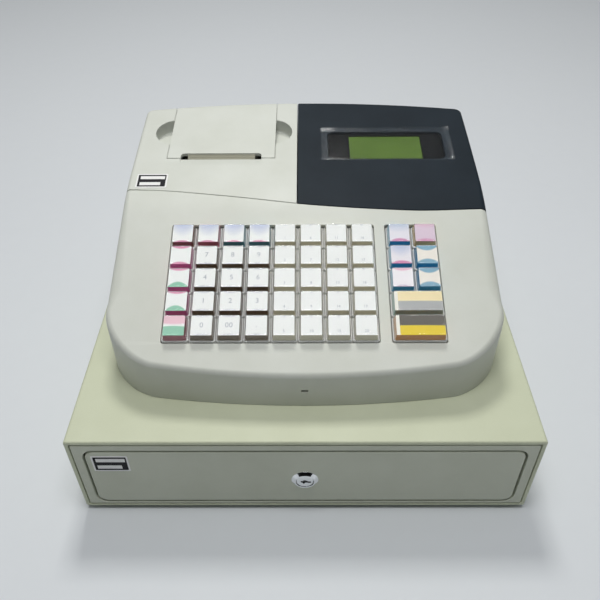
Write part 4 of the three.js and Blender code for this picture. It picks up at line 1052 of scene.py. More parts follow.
def displayParts():
    w, l, top = display["width"] / 2, display["length"] / 2, -display["sink"] - leastGap

    def inWindow(piece, name, material, slot, *nodes):
        piece.data.transform(displayPlane)
        place(smooth(piece), name, material, "register", slot, *nodes)

    def middleBlock(name, grow, halfWidth, halfLength, low, high):
        return block(name, -halfWidth - grow, halfWidth + grow, -halfLength - grow, halfLength + grow, low, high)
    plan = roundRect(-w + fitGap, w - fitGap, -l + fitGap, l - fitGap, display["corner"] - fitGap)
    lens = prism("lens", plan, "z", -display["lensSink"] - display["lensThick"], -display["lensSink"])
    inWindow(bevel(lens, display["lensEdge"]), "displayLens", windowClear, "window_clear", "display_window")
    body = middleBlock("module", display["border"], w, l, top - display["moduleThick"], top)
    rise = middleBlock("rise", -display["riseInset"], w, l, top - display["rise"], top + display["rise"])
    w, l = display["glassWidth"] / 2, display["glassLength"] / 2
    recess = flaredHole("recess", -w, w, -l, l, display["recessCorner"], display["recessRound"],
                        Matrix.Translation((0, 0, top + display["rise"])), display["recess"])
    module = cut(join(body, rise), recess)
    inWindow(module, "displayModule", finishes["screenBlack"], "black_plastic", "display_module")
    high = top + display["glassGap"]
    glass = middleBlock("glass", -display["glassGap"], w, l, high - display["glassThick"], high)
    inWindow(bevel(glass, display["glassEdge"]), "displayGlass", finishes["displayGreen"], "window_clear")


displayParts()

film = {
    "left": 14.7, "right": 125.5, "front": 219.3, "rear": 262, "thick": 0.2, "lift": 0.12, "steps": 60,
    "curl": 0.68, "curlReach": 3, "curlSwing": 0.15, "curlWaves": 9, "bulge": 0.26, "flap": 0.9, "flapShare": 0.07,
    "wrinkles": [(0.16, 7, 2.5), (0.08, 17, -5)],  # height, waves across and along
    "laidFront": 26, "laidLeft": 8, "settled": 1.5,  # how soon it rises from its front and its left edge
}


def filmHeight(x, y):
    # lies on the hood, with a curled rear edge and slack wrinkles
    across = (x - film["left"]) / (film["right"] - film["left"])
    along = (y - film["front"]) / (film["rear"] - film["front"])
    curl = film["curl"] * math.exp(-((y - film["rear"]) / film["curlReach"]) ** 2)
    curl *= 1 - film["curlSwing"] + film["curlSwing"] * math.sin(film["curlWaves"] * across + 1)
    wrinkles = sum(height * math.sin(u * across + v * along) for height, u, v in film["wrinkles"])
    flap = film["flap"] * max(0, (across - 1 + film["flapShare"]) / film["flapShare"]) ** 2
    border = max(0, min(1, film["laidFront"] * along, film["laidLeft"] * across))
    slack = (film["bulge"] + wrinkles * min(1, film["settled"] * along)) * border
    return topHeight(y) + film["lift"] + curl + flap + slack


def displayFilm():
    shares = [i / film["steps"] for i in range(film["steps"] + 1)]
    sections = []
    across = [lerp(film["left"], film["right"], share) for share in shares]
    for y in (lerp(film["front"], film["rear"], share) for share in shares):
        under = [Vector((x, y, filmHeight(x, y))) for x in across]
        sections.append(under + [Vector((p.x, p.y, p.z + film["thick"])) for p in reversed(under)])
    return smooth(lofted("film", sections), 60)


place(displayFilm(), "displayFilm", filmClear, "register", "window_clear")
print("stage: display")


# Key caps: a coloured body on a stem, a printed face, and a clear cap over both

# half width, half length and corner of a key at heights above the plate; its face leans up the slope
skirtOutside = [(-2.3, 9.5, 9.5, 1.6), (0.3, 9.45, 9.45, 1.6), (0.95, 9.4, 9.45, 1.5), (1.25, 9.1, 9.25, 1.5),
                (1.5, 8.8, 9.1, 1.4)]
skirtInside = [(1.5, 8.45, 8.6, 1.2), (0.4, 8.8, 8.85, 1.3), (-2.3, 9.05, 9.05, 1.3)]
capOutside = [(1.52, 8.78, 9.08, 1.4), (2.1, 8.7, 9, 1.3), (7.35, 7.8, 7.9, 0.9), (7.62, 7.72, 7.82, 0.85),
              (7.85, 7.55, 7.65, 0.8), (7.97, 7.3, 7.4, 0.7), (8, 7.05, 7.15, 0.6)]
capInside = [(7.3, 7.3, 7.4, 0.6), (7.1, 7.5, 7.6, 0.7), (2.1, 8.35, 8.65, 1.1), (1.52, 8.42, 8.72, 1.2)]
bodyOutside = [(1.6, 8, 8.3, 0.9), (1.75, 8.25, 8.55, 1), (6.8, 7.45, 7.55, 0.6), (6.95, 7.3, 7.4, 0.5)]
dishShares = (0.85, 0.6, 0.35, 0.1)  # rings of the cap's shallow dish


def keyLean(w):
    return keys["lean"] * min(1, max(0, (w - keys["skirtTop"]) / (keys["top"] - keys["skirtTop"])))


def keyRing(w, halfWidth, halfLength, corner, extra, steps=4):
    a, b, lean = halfWidth + extra / 2, halfLength, keyLean(w)
    return [Vector((u, v + lean, w)) for u, v in roundRect(-a, a, -b, b, corner, steps)]


def clearCap(extra):
    rings = [keyRing(*level, extra) for level in capOutside]
    top, halfWidth, halfLength, corner = capOutside[-1]
    for share in dishShares:
        sag = keys["dish"] * (1 - share ** 2)
        rings.append(keyRing(top - sag, halfWidth * share, halfLength * share, corner * share, extra * share))
    inner = [keyRing(*level, extra) for level in capInside]
    return lofted("clearCap", inner + rings)


def ribbed(points, counts, depth):
    # scallops along a closed outline, four steps to each
    result = []
    for i, point in enumerate(points):
        after = points[(i + 1) % len(points)]
        span = after - point
        outward = Vector((span.y, -span.x, 0)).normalized()
        for k in range(counts[i]):
            scallop = abs(math.sin(math.pi * len(result) / 4)) - 1
            result.append(point.lerp(after, k / counts[i]) + outward * (depth * scallop))
    return result


def keySkirt(extra):
    # the flange round a key's foot, with fine upright ribs; its finish is mostly white and dull, a painted stand-in
    # for the glints of clear plastic
    first = keyRing(*skirtOutside[0], extra, 2)
    counts = [max(1, round((first[(i + 1) % len(first)] - point).length / keys["rib"] * 4))
              for i, point in enumerate(first)]
    outside = [ribbed(keyRing(*level, extra, 2), counts, keys["ribDeep"]) for level in skirtOutside]
    inside = []
    for w, halfWidth, halfLength, corner in skirtInside:
        reach = (halfWidth + extra / 2) / (skirtOutside[0][1] + extra / 2), halfLength / skirtOutside[0][2]
        inside.append([Vector((p.x * reach[0], p.y * reach[1], w)) for p in outside[0]])
    return lofted("keySkirt", outside + inside, closed=True)


def keyBody(extra):
    body = lofted("keyBody", [keyRing(*level, extra) for level in bodyOutside])
    half = keys["stem"] / 2
    stem = block("stem", -half, half, -half, half, -keys["stemReach"], bodyOutside[0][0] + keys["stemInto"])
    return join(body, bevel(stem, keys["stemRound"]))


def keyFace(extra):
    # the printed film, with its own map from corner to corner
    across, up, low, high = keys["faceAcross"], keys["faceUp"], keys["faceLow"], keys["faceHigh"]
    face = lofted("keyFace", [keyRing(w, across, up, keys["faceCorner"], extra) for w in (low, high)])
    layer = face.data.uv_layers.new(name="face")
    for loop in face.data.loops:
        at = face.data.vertices[loop.vertex_index].co
        layer.data[loop.index].uv = ((at.x + extra / 2 + across) / (2 * across + extra),
                                     (at.y - keyLean(high) + up) / (2 * up))
    return face


def keySlots():
    # every key: its node, its column and row, and how many keys wide its body is
    table = []
    for row in range(keys["rows"]):
        for column in range(keys["numbers"]):
            table.append((f"key_row{row + 1}_{column + 1}", column, row, 1))
    for column in range(keys["numbers"], mainColumns):
        table.append((f"key_column_{column + 1}", column, None, 1))
    for row in range(3):
        for i, letter in enumerate("ab"):
            table.append((f"side_key_{row + 1}{letter}", mainColumns + i, row, 1))
    for row in (3, 4):
        table.append((f"wide_key_{row + 1}", mainColumns + 0.5, row, 2))
    return table


keyColours = {
    "key_maroon": srgb(126, 90, 70), "key_rose": srgb(214, 116, 138), "key_teal": srgb(84, 152, 168),
    "key_magenta": srgb(226, 120, 176), "key_pink": srgb(180, 98, 116), "key_brown": srgb(116, 96, 74),
    "key_olive": srgb(228, 222, 196), "key_blue": srgb(62, 160, 210), "key_tan": srgb(250, 206, 136),
    "key_slate": srgb(146, 184, 180), "key_copper": srgb(216, 142, 64),
}
keySlotOf = {part["node"]: part["material_slot"] for part in frame["record"]["subparts"]}
keyFinishes = {
    slot: grained(slot, colour, scaled(colour, 0.85), 0.35, grain=900, bump=0.05, edgeShadeAmount=0.1)
    for slot, colour in keyColours.items()
}
keyParts = {units: {"body": keyBody(extra), "skirt": keySkirt(extra), "cap": clearCap(extra), "face": keyFace(extra)}
            for units, extra in ((1, 0), (2, keys["pitch"]))}
for parts in keyParts.values():
    for part in parts.values():
        smooth(part, 40)

white = srgb(249, 251, 249)
haze = srgb(222, 225, 229)
lavender = srgb(200, 208, 232)
pink = srgb(226, 150, 184)
mint = srgb(150, 206, 180)
sky = srgb(134, 176, 198)
bands = {"depth": (0.1, 0.5), "reach": (1, 6), "blur": (0.1, 0.03), "margin": 0.07}
# ground, top patch and bottom patch, and the patches' sizes
printLooks = {
    "tinted": (white, lavender, pink, {"depth": (0.75, 0.1), "reach": (1.6, 0.95), "blur": (0.7, 0.05)}),
    "twoArcs": (white, pink, pink, {"depth": (0.16, 0.14), "reach": (1.1, 1)}),
    "hill": (white, pink, mint, {"depth": (0.14, 0.3), "reach": (1.1, 1.05)}),
    "halfGreen": (white, srgb(243, 202, 214), mint, {"depth": (0.5, 0.5), "reach": (4, 4), "blur": (0.12, 0.05)}),
    "plain": (white, haze, haze, {"depth": (0.1, 0.1), "reach": (0.9, 0.9)}),
    "group": (white, haze, white, {"depth": (0.12, 0), "reach": (0.18, 1)}),
    "lilac": (srgb(236, 234, 242), srgb(196, 208, 228), srgb(214, 150, 190),
              {"depth": (0.5, 0.2), "reach": (2.4, 1.1), "blur": (0.5, 0.08)}),
    "blush": (srgb(226, 206, 222), srgb(224, 188, 208), srgb(214, 158, 192),
              {"depth": (0.3, 0.2), "reach": (2, 1.2), "blur": (0.3, 0.12)}),
    "fading": (srgb(240, 236, 242), lavender, srgb(214, 140, 180),
               {"depth": (0.7, 0.19), "reach": (1.6, 1.2), "blur": (0.6, 0.08)}),
    "arched": (srgb(250, 246, 250), srgb(238, 196, 214), srgb(222, 208, 222),
               {"depth": (0.17, 0.12), "reach": (1.1, 1)}),
    "lens": (srgb(246, 240, 230), sky, sky, {"depth": (0.3, 0.28), "reach": (1.25, 1.25)}),
    "cream": (srgb(248, 232, 184), srgb(248, 232, 184), srgb(176, 178, 178), bands),
    "yellow": (srgb(92, 88, 80), srgb(92, 88, 80), srgb(236, 208, 30), bands),
}
prints = {
    name: printed(name + "Print", ground, top, bottom, **sizes)
    for name, (ground, top, bottom, sizes) in printLooks.items()
}
# the print on each key: the four number columns from the top row down, then the right block
numberPrints = [["tinted"] * 4]
numberPrints += [[first, "plain", "plain", "plain"] for first in ("twoArcs", "hill", "hill", "halfGreen")]
blockPrints = {
    "side_key_1a": "lilac", "side_key_1b": "blush", "side_key_2a": "fading", "side_key_2b": "lens",
    "side_key_3a": "arched", "side_key_3b": "lens", "wide_key_4": "cream", "wide_key_5": "yellow",
}
numeralRows = [("7", "8", "9"), ("4", "5", "6"), ("1", "2", "3"), ("0", "00", ".")]
numerals = {(i + 1, k + 1): text for i, texts in enumerate(numeralRows) for k, text in enumerate(texts)}


def keyCopies(part, name, column, row, material):
    # one copy, or a whole column of copies down the slope
    x = columnX(mainColumns) + keys["pitch"] / 2 if column == mainColumns + 0.5 else columnX(column)
    count = keys["rows"] if row is None else 1
    copies = copiesInRow(name, part, count, (x, rowV(row or 0), 0), (0, -keys["pitch"], 0), material)
    copies.data.transform(keyPlane)
    return copies


def numeral(text, size, x, v):
    # flat printed figures, a hair above the film
    font = bpy.data.curves.new("numeral", "FONT")
    font.body = text
    font.size = size
    font.align_x, font.align_y = "CENTER", "CENTER"
    font.extrude = keys["ink"]
    font.resolution_u = 3
    flat = bpy.data.objects.new("numeral", font)
    workshop.objects.link(flat)
    bpy.context.view_layer.update()
    mesh = bpy.data.meshes.new_from_object(flat.evaluated_get(bpy.context.evaluated_depsgraph_get()))
    bpy.data.objects.remove(flat)
    bpy.data.curves.remove(font)
    mesh.transform(Matrix.Translation((x, v, keys["faceHigh"] + keys["inkLift"])))
    return mesh


def figures(name, column, row):
    # every figure of one key, or of a whole column
    bm = bmesh.new()
    for one in range(keys["rows"]) if row is None else [row]:
        if column < keys["numbers"]:
            text, size, up = numerals[(one, column)], keys["numeral"], keys["numeralUp"]
        else:
            text = str((column - keys["numbers"]) * keys["rows"] + one + 1)
            size, up = keys["groupNumeral"], keys["groupNumeralUp"]
        mesh = numeral(text, size, columnX(column), rowV(one) + up)
        bm.from_mesh(mesh)
        bpy.data.meshes.remove(mesh)
    ink = bpy.data.meshes.new(name)
    bm.to_mesh(ink)
    bm.free()
    ink.transform(keyPlane)
    obj = bpy.data.objects.new(name, ink)
    workshop.objects.link(obj)
    return obj


def makeKeys():
    for node, column, row, units in keySlots():
        slot = keySlotOf[node]
        parts = keyParts[units]
        bodies = keyCopies(parts["body"], node, column, row, keyFinishes[slot])
        if row is None:
            half = keys["stem"] / 2
            x = columnX(column)
            rail = block("rail", x - half, x + half, rowV(keys["rows"] - 1), rowV(0), -keys["skirt"], -1)
            rail.data.transform(keyPlane)
            bodies = smooth(join(bodies, rail), 40)
        place(bodies, node + "_body", keyFinishes[slot], node, slot, node)
        if node in blockPrints:
            look = blockPrints[node]
        else:
            look = numberPrints[row][column] if row is not None else "group"
        for kind, material, layerSlot in (("cap", capClear, "window_clear"), ("skirt", skirtClear, "window_clear"),
                                          ("face", prints[look], "roll_paper")):
            copies = keyCopies(parts[kind], node, column, row, material)
            place(copies, f"{node}_{kind}", material, node, layerSlot)
        if row is None or (row, column) in numerals:
            name = node + "_figures"
            place(figures(name, column, row), name, finishes["keyInk"], node, "black_plastic")


makeKeys()
print("stage: keys")


# Drawer housing, frame, panel and lock

drawer = {
    "sheet": 2, "corner": 2.4, "runnerReach": 12, "runnerSheet": 2, "flangeRise": 30, "flange": 1.5,
    "panelSide": 12, "panelBase": 7.7, "panelHead": 11.1, "panelCorner": 7, "panelGap": 1.6, "panelSheet": 2,
    "panelDepth": 18, "panelRound": 0.9, "panelRearRound": 0.4, "frameDepth": 6, "frameGap": 0.8, "frameRound": 0.6,
    "hemThick": 1.2, "hemDepth": 3.2, "foldRound": 1.6, "innerCorner": 0.8, "mouthRound": 0.6, "holeRound": 0.5,
    "railEdge": 0.3,
}
# the bezel is a low cone up to the cylinder's face: its foot and its crest are steps in and shares of its height
lock = {
    "rise": 34.6, "radius": 9.8, "proud": 2, "dish": 0.15, "cylinder": 6.2, "lip": 0.8,
    "foot": [(0, 0), (0, 0.08), (0.05, 0.12), (0.15, 0.17)], "crest": [(-0.2, 0.94), (0, 0.99), (0.2, 1)],
    "rim": [(0.5, 0.12), (0.15, 0.3), (0, 0.6)], "barrel": 4.6, "collar": 2,
    "camReach": 15, "camHalf": 4, "camCorner": 3.5, "keyDeep": 4, "shadeLow": 0.9, "shadeHigh": 3.8,
    "shadeAcross": 0.93, "shadeUp": 0.9, "sides": 96,
    "keyway": [(-3, -0.8), (-1.8, -0.8), (-1.5, -2.2), (-0.4, -2.2), (0.2, -0.9), (1.6, -0.8), (2.1, -1.2),
               (4.4, -1.2), (4.4, 0.5), (2.2, 0.5), (1.6, 1.3), (0.6, 1.9), (-0.9, 1.9), (-1.7, 1), (-3, 0.9)],
}
backPlate = {
    "screw": 3.3, "seat": 0.9, "seatGap": 0.15, "inset": 13, "rowInset": 8, "columns": 4, "cross": 2.2,
    "crossWidth": 0.9, "crossDeep": 0.7, "seam": 4, "seamWidth": 0.7, "seamDeep": 0.6,
    "cableX": -118, "cableZ": 27, "cableHole": 6.2, "flange": 7.6, "flangeGap": 0.1, "flangeThick": 1,
    "bore": 4.2, "soft": 0.4, "screwSoft": 0.25, "sunk": 0.05,
}
panelHalf = housingHalf - drawer["panelSide"]
panelLow = housingBase + drawer["panelBase"]
panelTop = housingTop - drawer["panelHead"]
lockZ = housingBase + lock["rise"]
screwRows = {"Low": housingBase + backPlate["rowInset"], "High": housingTop - backPlate["rowInset"]}
screwStep = 2 * (housingHalf - backPlate["inset"]) / (backPlate["columns"] - 1)
cableZ = housingBase + backPlate["cableZ"]
ontoFront = Matrix.Rotation(math.pi / 2, 4, "X")  # from a flat plan to the drawer's front plane


def rearCuts():
    # back plate's seam, screw seats and the hole that a cable leaves by
    cuts = []
    far = housingDepth + past
    for z in screwRows.values():
        for i in range(backPlate["columns"]):
            x = -housingHalf + backPlate["inset"] + i * screwStep
            radius = backPlate["screw"] + backPlate["seatGap"]
            cuts.append(bar("seat", "y", radius, housingDepth - backPlate["seat"], far, x, z, 32))
    for radius, deep in ((backPlate["flange"] + backPlate["flangeGap"], backPlate["flangeThick"]),
                         (backPlate["cableHole"], past)):
        cuts.append(bar("cable", "y", radius, housingDepth - deep, far, backPlate["cableX"], cableZ))

    def plate(name, edge, corner, start, end):
        return softPrism(name, -housingHalf + edge, housingHalf - edge, housingBase + edge, housingTop - edge, corner,
                         "y", start, end)
    edge, start = backPlate["seam"], housingDepth - backPlate["seamDeep"]
    core = plate("core", edge + backPlate["seamWidth"], 1.6, start - past, far + past)
    return cuts + [cut(plate("seam", edge, 2, start, far), core)]


def rearFittings():
    r, seat, reach, deep = backPlate["screw"], backPlate["seat"], backPlate["cross"], backPlate["crossDeep"]
    soft = backPlate["screwSoft"]
    profile = [(0, -seat), (r, -seat), (r, -soft), (r - 1.4 * soft, 0), (0, 0)]
    screw = lathe("screw", profile, "y", 0, 0, 40, closed=False)
    half = backPlate["crossWidth"] / 2
    across = block("across", -reach, reach, -deep, past, -half, half)
    upright = block("upright", -half, half, -deep, past, -reach, reach)
    screw = smooth(cut(screw, across, upright), 30)
    for name, z in screwRows.items():
        start = -housingHalf + backPlate["inset"], housingDepth - backPlate["sunk"], z
        row = copiesInRow("rearScrews", screw, backPlate["columns"], start, (screwStep, 0, 0), finishes["traySteel"])
        place(row, "rearScrews" + name, finishes["traySteel"], "register", "tray_steel")
    hole, flange, bore = backPlate["cableHole"] - backPlate["flangeGap"], backPlate["flange"], backPlate["bore"]
    thick, inside = backPlate["flangeThick"], -drawer["sheet"] - backPlate["flangeGap"]
    soft, top = backPlate["soft"], -backPlate["sunk"]
    grommet = lathe("grommet", [
        (bore, -soft), (bore + 0.5, top), (flange - soft, top), (flange, -soft), (flange, -thick), (hole, -thick),
        (hole, inside), (hole + 1, inside), (hole + 1, inside - 2 * soft), (bore, inside - 2 * soft),
    ], "y", 0, 0, 64)
    grommet.data.transform(Matrix.Translation((backPlate["cableX"], housingDepth, cableZ)))
    place(smooth(grommet, 40), "cableGrommet", finishes["footRubber"], "register", "black_plastic")


def drawerHousing():
    half, sheet, hem = housingHalf, drawer["sheet"], drawer["hemThick"]
    housing = softPrism("housing", -half, half, housingBase, housingTop, drawer["corner"], "y", 0, housingDepth,
                        drawer["foldRound"], 1)
    inside = softPrism("inside", -half + sheet, half - sheet, housingBase + sheet, housingTop - sheet,
                       drawer["innerCorner"], "y", drawer["hemDepth"], housingDepth - sheet)
    rim = sheet + hem
    mouth = flaredHole("mouth", -half + rim, half - rim, housingBase + rim, housingTop - rim, drawer["innerCorner"],
                       drawer["mouthRound"], ontoFront, drawer["hemDepth"] + past)
    housing = cut(housing, inside, mouth, *rearCuts())
    # rails under and over the tray's side flanges
    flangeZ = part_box("drawer_tray")[0].z / mm + drawer["flangeRise"]
    for side in (-1, 1):
        x0, x1 = sorted((side * (half - sheet - drawer["runnerReach"]), side * (half - sheet / 2)))
        for z in (flangeZ - leastGap - drawer["runnerSheet"], flangeZ + drawer["flange"] + fitGap):
            rail = block("rail", x0, x1, drawer["panelDepth"] + fitGap, housingDepth - sheet / 2,
                         z, z + drawer["runnerSheet"])
            housing = join(housing, bevel(rail, drawer["railEdge"]))
    return smooth(housing)


place(drawerHousing(), "drawerHousing", finishes["drawerPaint"], "register", "drawer_paint", "drawer_housing")
rearFittings()


def frontFrame():
    half = housingHalf - drawer["sheet"] - fitGap
    low = housingBase + drawer["sheet"] + fitGap
    high = housingTop - drawer["sheet"] - fitGap
    inset, deep = drawer["hemThick"] + drawer["frameGap"] - fitGap, drawer["frameDepth"]
    plate = softPrism("frame", -half + inset, half - inset, low + inset, high - inset, 1, "y", 0, deep,
                      drawer["frameRound"])
    plate = join(plate, block("back", -half, half, drawer["hemDepth"] + fitGap, deep, low, high))
    edge, gap = panelHalf + drawer["panelGap"], drawer["panelGap"]
    hole = flaredHole("hole", -edge, edge, panelLow - gap, panelTop + gap, drawer["panelCorner"] + gap,
                      drawer["holeRound"], ontoFront, deep + past)
    return smooth(cut(plate, hole))


place(frontFrame(), "frontFrame", finishes["frontPaint"], "register", "front_paint", "front_frame")


def drawerFront():
    half, sheet, corner, deep = panelHalf, drawer["panelSheet"], drawer["panelCorner"], drawer["panelDepth"]
    pan = softPrism("pan", -half, half, panelLow, panelTop, corner, "y", 0, deep, drawer["panelRound"],
                    drawer["panelRearRound"])
    hollow = softPrism("hollow", -half + sheet, half - sheet, panelLow + sheet, panelTop - sheet, corner - sheet,
                       "y", sheet, deep + past, 1)
    hole = bar("hole", "y", lock["cylinder"] + fitGap + leastGap, -past, deep, 0, lockZ)
    return smooth(cut(pan, hollow, hole))


place(drawerFront(), "drawerFront", finishes["frontPaint"], "drawer", "front_paint", "drawer_front")


def lockParts():
    r, radius, proud = lock["cylinder"], lock["radius"], lock["proud"]
    bore = r + leastGap
    lip, face = bore + lock["lip"], lock["dish"] - proud
    profile = [(bore, 0)] + [(radius - step, -share * proud) for step, share in lock["foot"]]
    profile += [(lip - step, -share * proud) for step, share in lock["crest"]] + [(bore, -proud)]
    bezel = lathe("bezel", profile, "y", 0, lockZ, lock["sides"])
    place(smooth(bezel, 50), "lockBezel", finishes["lockChrome"], "drawer", "lock_chrome", "lock_bezel")
    profile = [(0, face), (r * 0.5, face + 0.03)] + [(r - step, face + drop) for step, drop in lock["rim"]]
    profile += [(r, lock["barrel"]), (0, lock["barrel"])]
    barrel = lathe("barrel", profile, "y", 0, lockZ, 72, closed=False)
    start = drawer["panelSheet"] + leastGap
    end = start + lock["collar"]
    collar = bar("collar", "y", r + 2 * fitGap + leastGap, start, end, 0, lockZ, 48)
    half = lock["camHalf"]
    cam = prism("cam", roundRect(0, lock["camReach"], lockZ - half, lockZ + half, lock["camCorner"]), "y", start, end)
    keyway = prism("keyway", [(x, lockZ + z) for x, z in lock["keyway"]], "y", -proud - past, face + lock["keyDeep"])
    cylinder = smooth(cut(join(barrel, collar, cam), keyway), 40)
    place(cylinder, "lockCylinder", finishes["lockChrome"], "lock_cylinder", "lock_chrome", "lock_cylinder")
    # painted shade: a black plug at the back of the keyway, dark as the slot's depth would be in shade
    wards = prism("wards", [(lock["shadeAcross"] * x, lockZ + lock["shadeUp"] * z) for x, z in lock["keyway"]],
                  "y", face + lock["shadeLow"], face + lock["shadeHigh"])
    place(smooth(wards), "lockWards", finishes["blackPlastic"], "lock_cylinder", "black_plastic")


lockParts()

# CAD nodes that only need rounded edges
roundedNodes = {
    "drawer_tray": ("drawerTray", 0.3, "traySteel", "drawer", "tray_steel"),
    "cash_insert": ("cashInsert", 0.5, "blackPlastic", "drawer", "black_plastic"),
    "printer_unit": ("printerUnit", 0.4, "printerPlastic", "register", "black_plastic"),
    "base_case": ("baseCase", 0.35, "casePlastic", "register", "case_plastic"),
    "key_frame": ("keyFrame", 0.3, "framePlastic", "register", "grey_plastic"),
    "drawer_latch": ("drawerLatch", 0.3, "traySteel", "register", "tray_steel"),
    "main_board": ("mainBoard", 0.12, "boardGreen", "register", "board_green"),
}
for node, (name, width, finishName, body, slot) in roundedNodes.items():
    place(roundedCopy(node, name, width), name, finishes[finishName], body, slot, node)
for i in range(1, 5):
    node = f"note_clip_{i}"
    place(roundedCopy(node, node, 0.3), f"noteClip{i}", finishes["greyPlastic"], node, "grey_plastic", node)
print("stage: drawer")


def centreAndHalf(node):
    low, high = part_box(node)
    low, high = fromFrame @ Vector(low), fromFrame @ Vector(high)
    return (low + high) / 2, (high - low) / 2


# Feet, springs, roll and roller

foot = {
    "radius": 9, "draft": 1.5, "height": 4, "round": 0.8,
    "recess": 2.8, "recessDeep": 1.6, "recessCorner": 0.3, "recessMouth": 0.4,
}


def feet():
    # a rubber foot with a screw's recess, set down at either side
    soft, recess, deep = foot["round"], foot["recess"], foot["recessDeep"]
    mouth, corner = foot["recessMouth"], foot["recessCorner"]
    profile = [(0, deep), (recess - corner, deep), (recess, deep - corner), (recess, mouth), (recess + mouth, 0)]
    base = foot["radius"] - foot["draft"]
    profile += [(base - soft * (1 - sine), soft * (1 - cosine)) for sine, cosine in quarter(4)]
    profile += [(foot["radius"], foot["height"]), (0, foot["height"])]
    one = smooth(lathe("foot", profile, "z", 0, 0, 64, closed=False), 40)
    for row in ("front", "rear"):
        nodes = f"foot_{row}_left", f"foot_{row}_right"
        left, right = (centreAndHalf(node)[0] for node in nodes)
        pair = copiesInRow("feet", one, 2, (left.x, left.y, 0), (right.x - left.x, 0, 0), finishes["footRubber"])
        place(pair, f"feet_{row}", finishes["footRubber"], "register", "foot_rubber", *nodes)


feet()

spring = {
    "radius": 2.75, "wire": 0.35, "turns": 4, "pitch": 0.95, "gap": 0.5, "steps": 20, "sides": 8, "barrel": 3.6,
    "count": 4,
}


def coil():
    # a wound spring about the x axis
    rings = []
    for i in range(spring["turns"] * spring["steps"] + 1):
        angle = math.tau * i / spring["steps"]
        x = spring["pitch"] * i / spring["steps"]
        outward = Vector((0, math.cos(angle), math.sin(angle)))
        ring = []
        for k in range(spring["sides"]):
            around = math.tau * k / spring["sides"]
            reach = spring["radius"] + spring["wire"] * math.cos(around)
            ring.append(outward * reach + Vector((x + spring["wire"] * math.sin(around), 0, 0)))
        rings.append(ring)
    return smooth(lofted("coil", rings), 60)


def clipSprings():
    # one at either side of each clip's barrel
    first, half = centreAndHalf("note_clip_1")
    second = centreAndHalf("note_clip_2")[0]
    y, z = first.y + half.y - spring["barrel"], first.z + half.z - spring["barrel"]
    one, length = coil(), spring["turns"] * spring["pitch"]
    step = second.x - first.x
    for side, x in (("left", first.x - half.x - spring["gap"] - length), ("right", first.x + half.x + spring["gap"])):
        row = copiesInRow("springs", one, spring["count"], (x, y, z), (step, 0, 0), finishes["lockChrome"])
        place(row, f"clipSprings_{side}", finishes["lockChrome"], "drawer", "lock_chrome")


clipSprings()


def turnedPart(node, name, profile, steps, closed=True):
    # a lathe about a node's own centre, along x
    centre = centreAndHalf(node)[0]
    return lathe(name, [(r, centre.x + w) for r, w in profile], "x", centre.y, centre.z, steps, closed)


roll = {
    "radius": 24, "edge": 0.25, "core": 6.5, "tube": 1.2, "inset": 0.2, "tubeGap": 0.05, "layer": 0.7, "ridge": 0.12,
}


def paperRoll():
    # wound paper: the layers show as fine ridges on both ends
    half = centreAndHalf("paper_roll")[1].x
    radius, bore, inside = roll["radius"], roll["core"] + roll["tube"], half - roll["inset"]
    count = 2 * int((radius - bore) / roll["layer"])
    end = [(lerp(radius - roll["edge"], bore, i / count), half - (roll["ridge"] if i % 2 else 0))
           for i in range(count + 1)]
    profile = [(radius, -half + roll["edge"]), (radius, half - roll["edge"])] + end
    profile += [(r, -w) for r, w in reversed(end)]
    wound = turnedPart("paper_roll", "wound", profile, 96)
    place(smooth(wound, 25), "paperRoll", finishes["rollPaper"], "paper_roll", "roll_paper", "paper_roll")
    small, large = roll["core"], bore - roll["tubeGap"]
    tube = [(small, -inside), (large, -inside), (large, inside), (small, inside)]
    core = turnedPart("paper_roll", "core", tube, 64)
    place(smooth(core), "rollCore", finishes["greyPlastic"], "paper_roll", "grey_plastic")


paperRoll()

roller = {
    "radius": 6, "pin": 2.4, "pinGap": 0.05, "halfSleeve": 28.75, "edge": 0.4,
    "groove": 0.35, "grooves": 8, "halfMouth": 0.3, "halfFloor": 0.1,
}


def platenRoller():
    # a rubber sleeve with shallow rings on a steel pin
    half = centreAndHalf("platen_roller")[1].x
    radius, pin, end, edge = roller["radius"], roller["pin"], roller["halfSleeve"], roller["edge"]
    bore, low = pin + roller["pinGap"], radius - roller["groove"]
    mouth, floor = roller["halfMouth"], roller["halfFloor"]
    sleeve = [(bore, -end), (radius - edge, -end), (radius, -end + edge)]
    for i in range(1, roller["grooves"]):
        w = lerp(-end, end, i / roller["grooves"])
        sleeve += [(radius, w - mouth), (low, w - floor), (low, w + floor), (radius, w + mouth)]
    sleeve += [(radius, end - edge), (radius - edge, end), (bore, end)]
    rubber = turnedPart("platen_roller", "sleeve", sleeve, 64)
    place(smooth(rubber), "platenSleeve", finishes["rollerRubber"], "platen_roller", "roller_rubber", "platen_roller")
    shaft = [(0, -half), (pin - edge, -half), (pin, -half + edge), (pin, half - edge), (pin - edge, half), (0, half)]
    steel = turnedPart("platen_roller", "pin", shaft, 48, closed=False)
    place(smooth(steel), "platenPin", finishes["lockChrome"], "platen_roller", "lock_chrome")


platenRoller()

header = {
    "pins": 24, "pitch": 2.54, "rise": 6, "side": 0.64, "edge": 0.12, "inset": 5,
    "strip": 2.5, "stripEdge": 0.25, "board": 1.6,
}


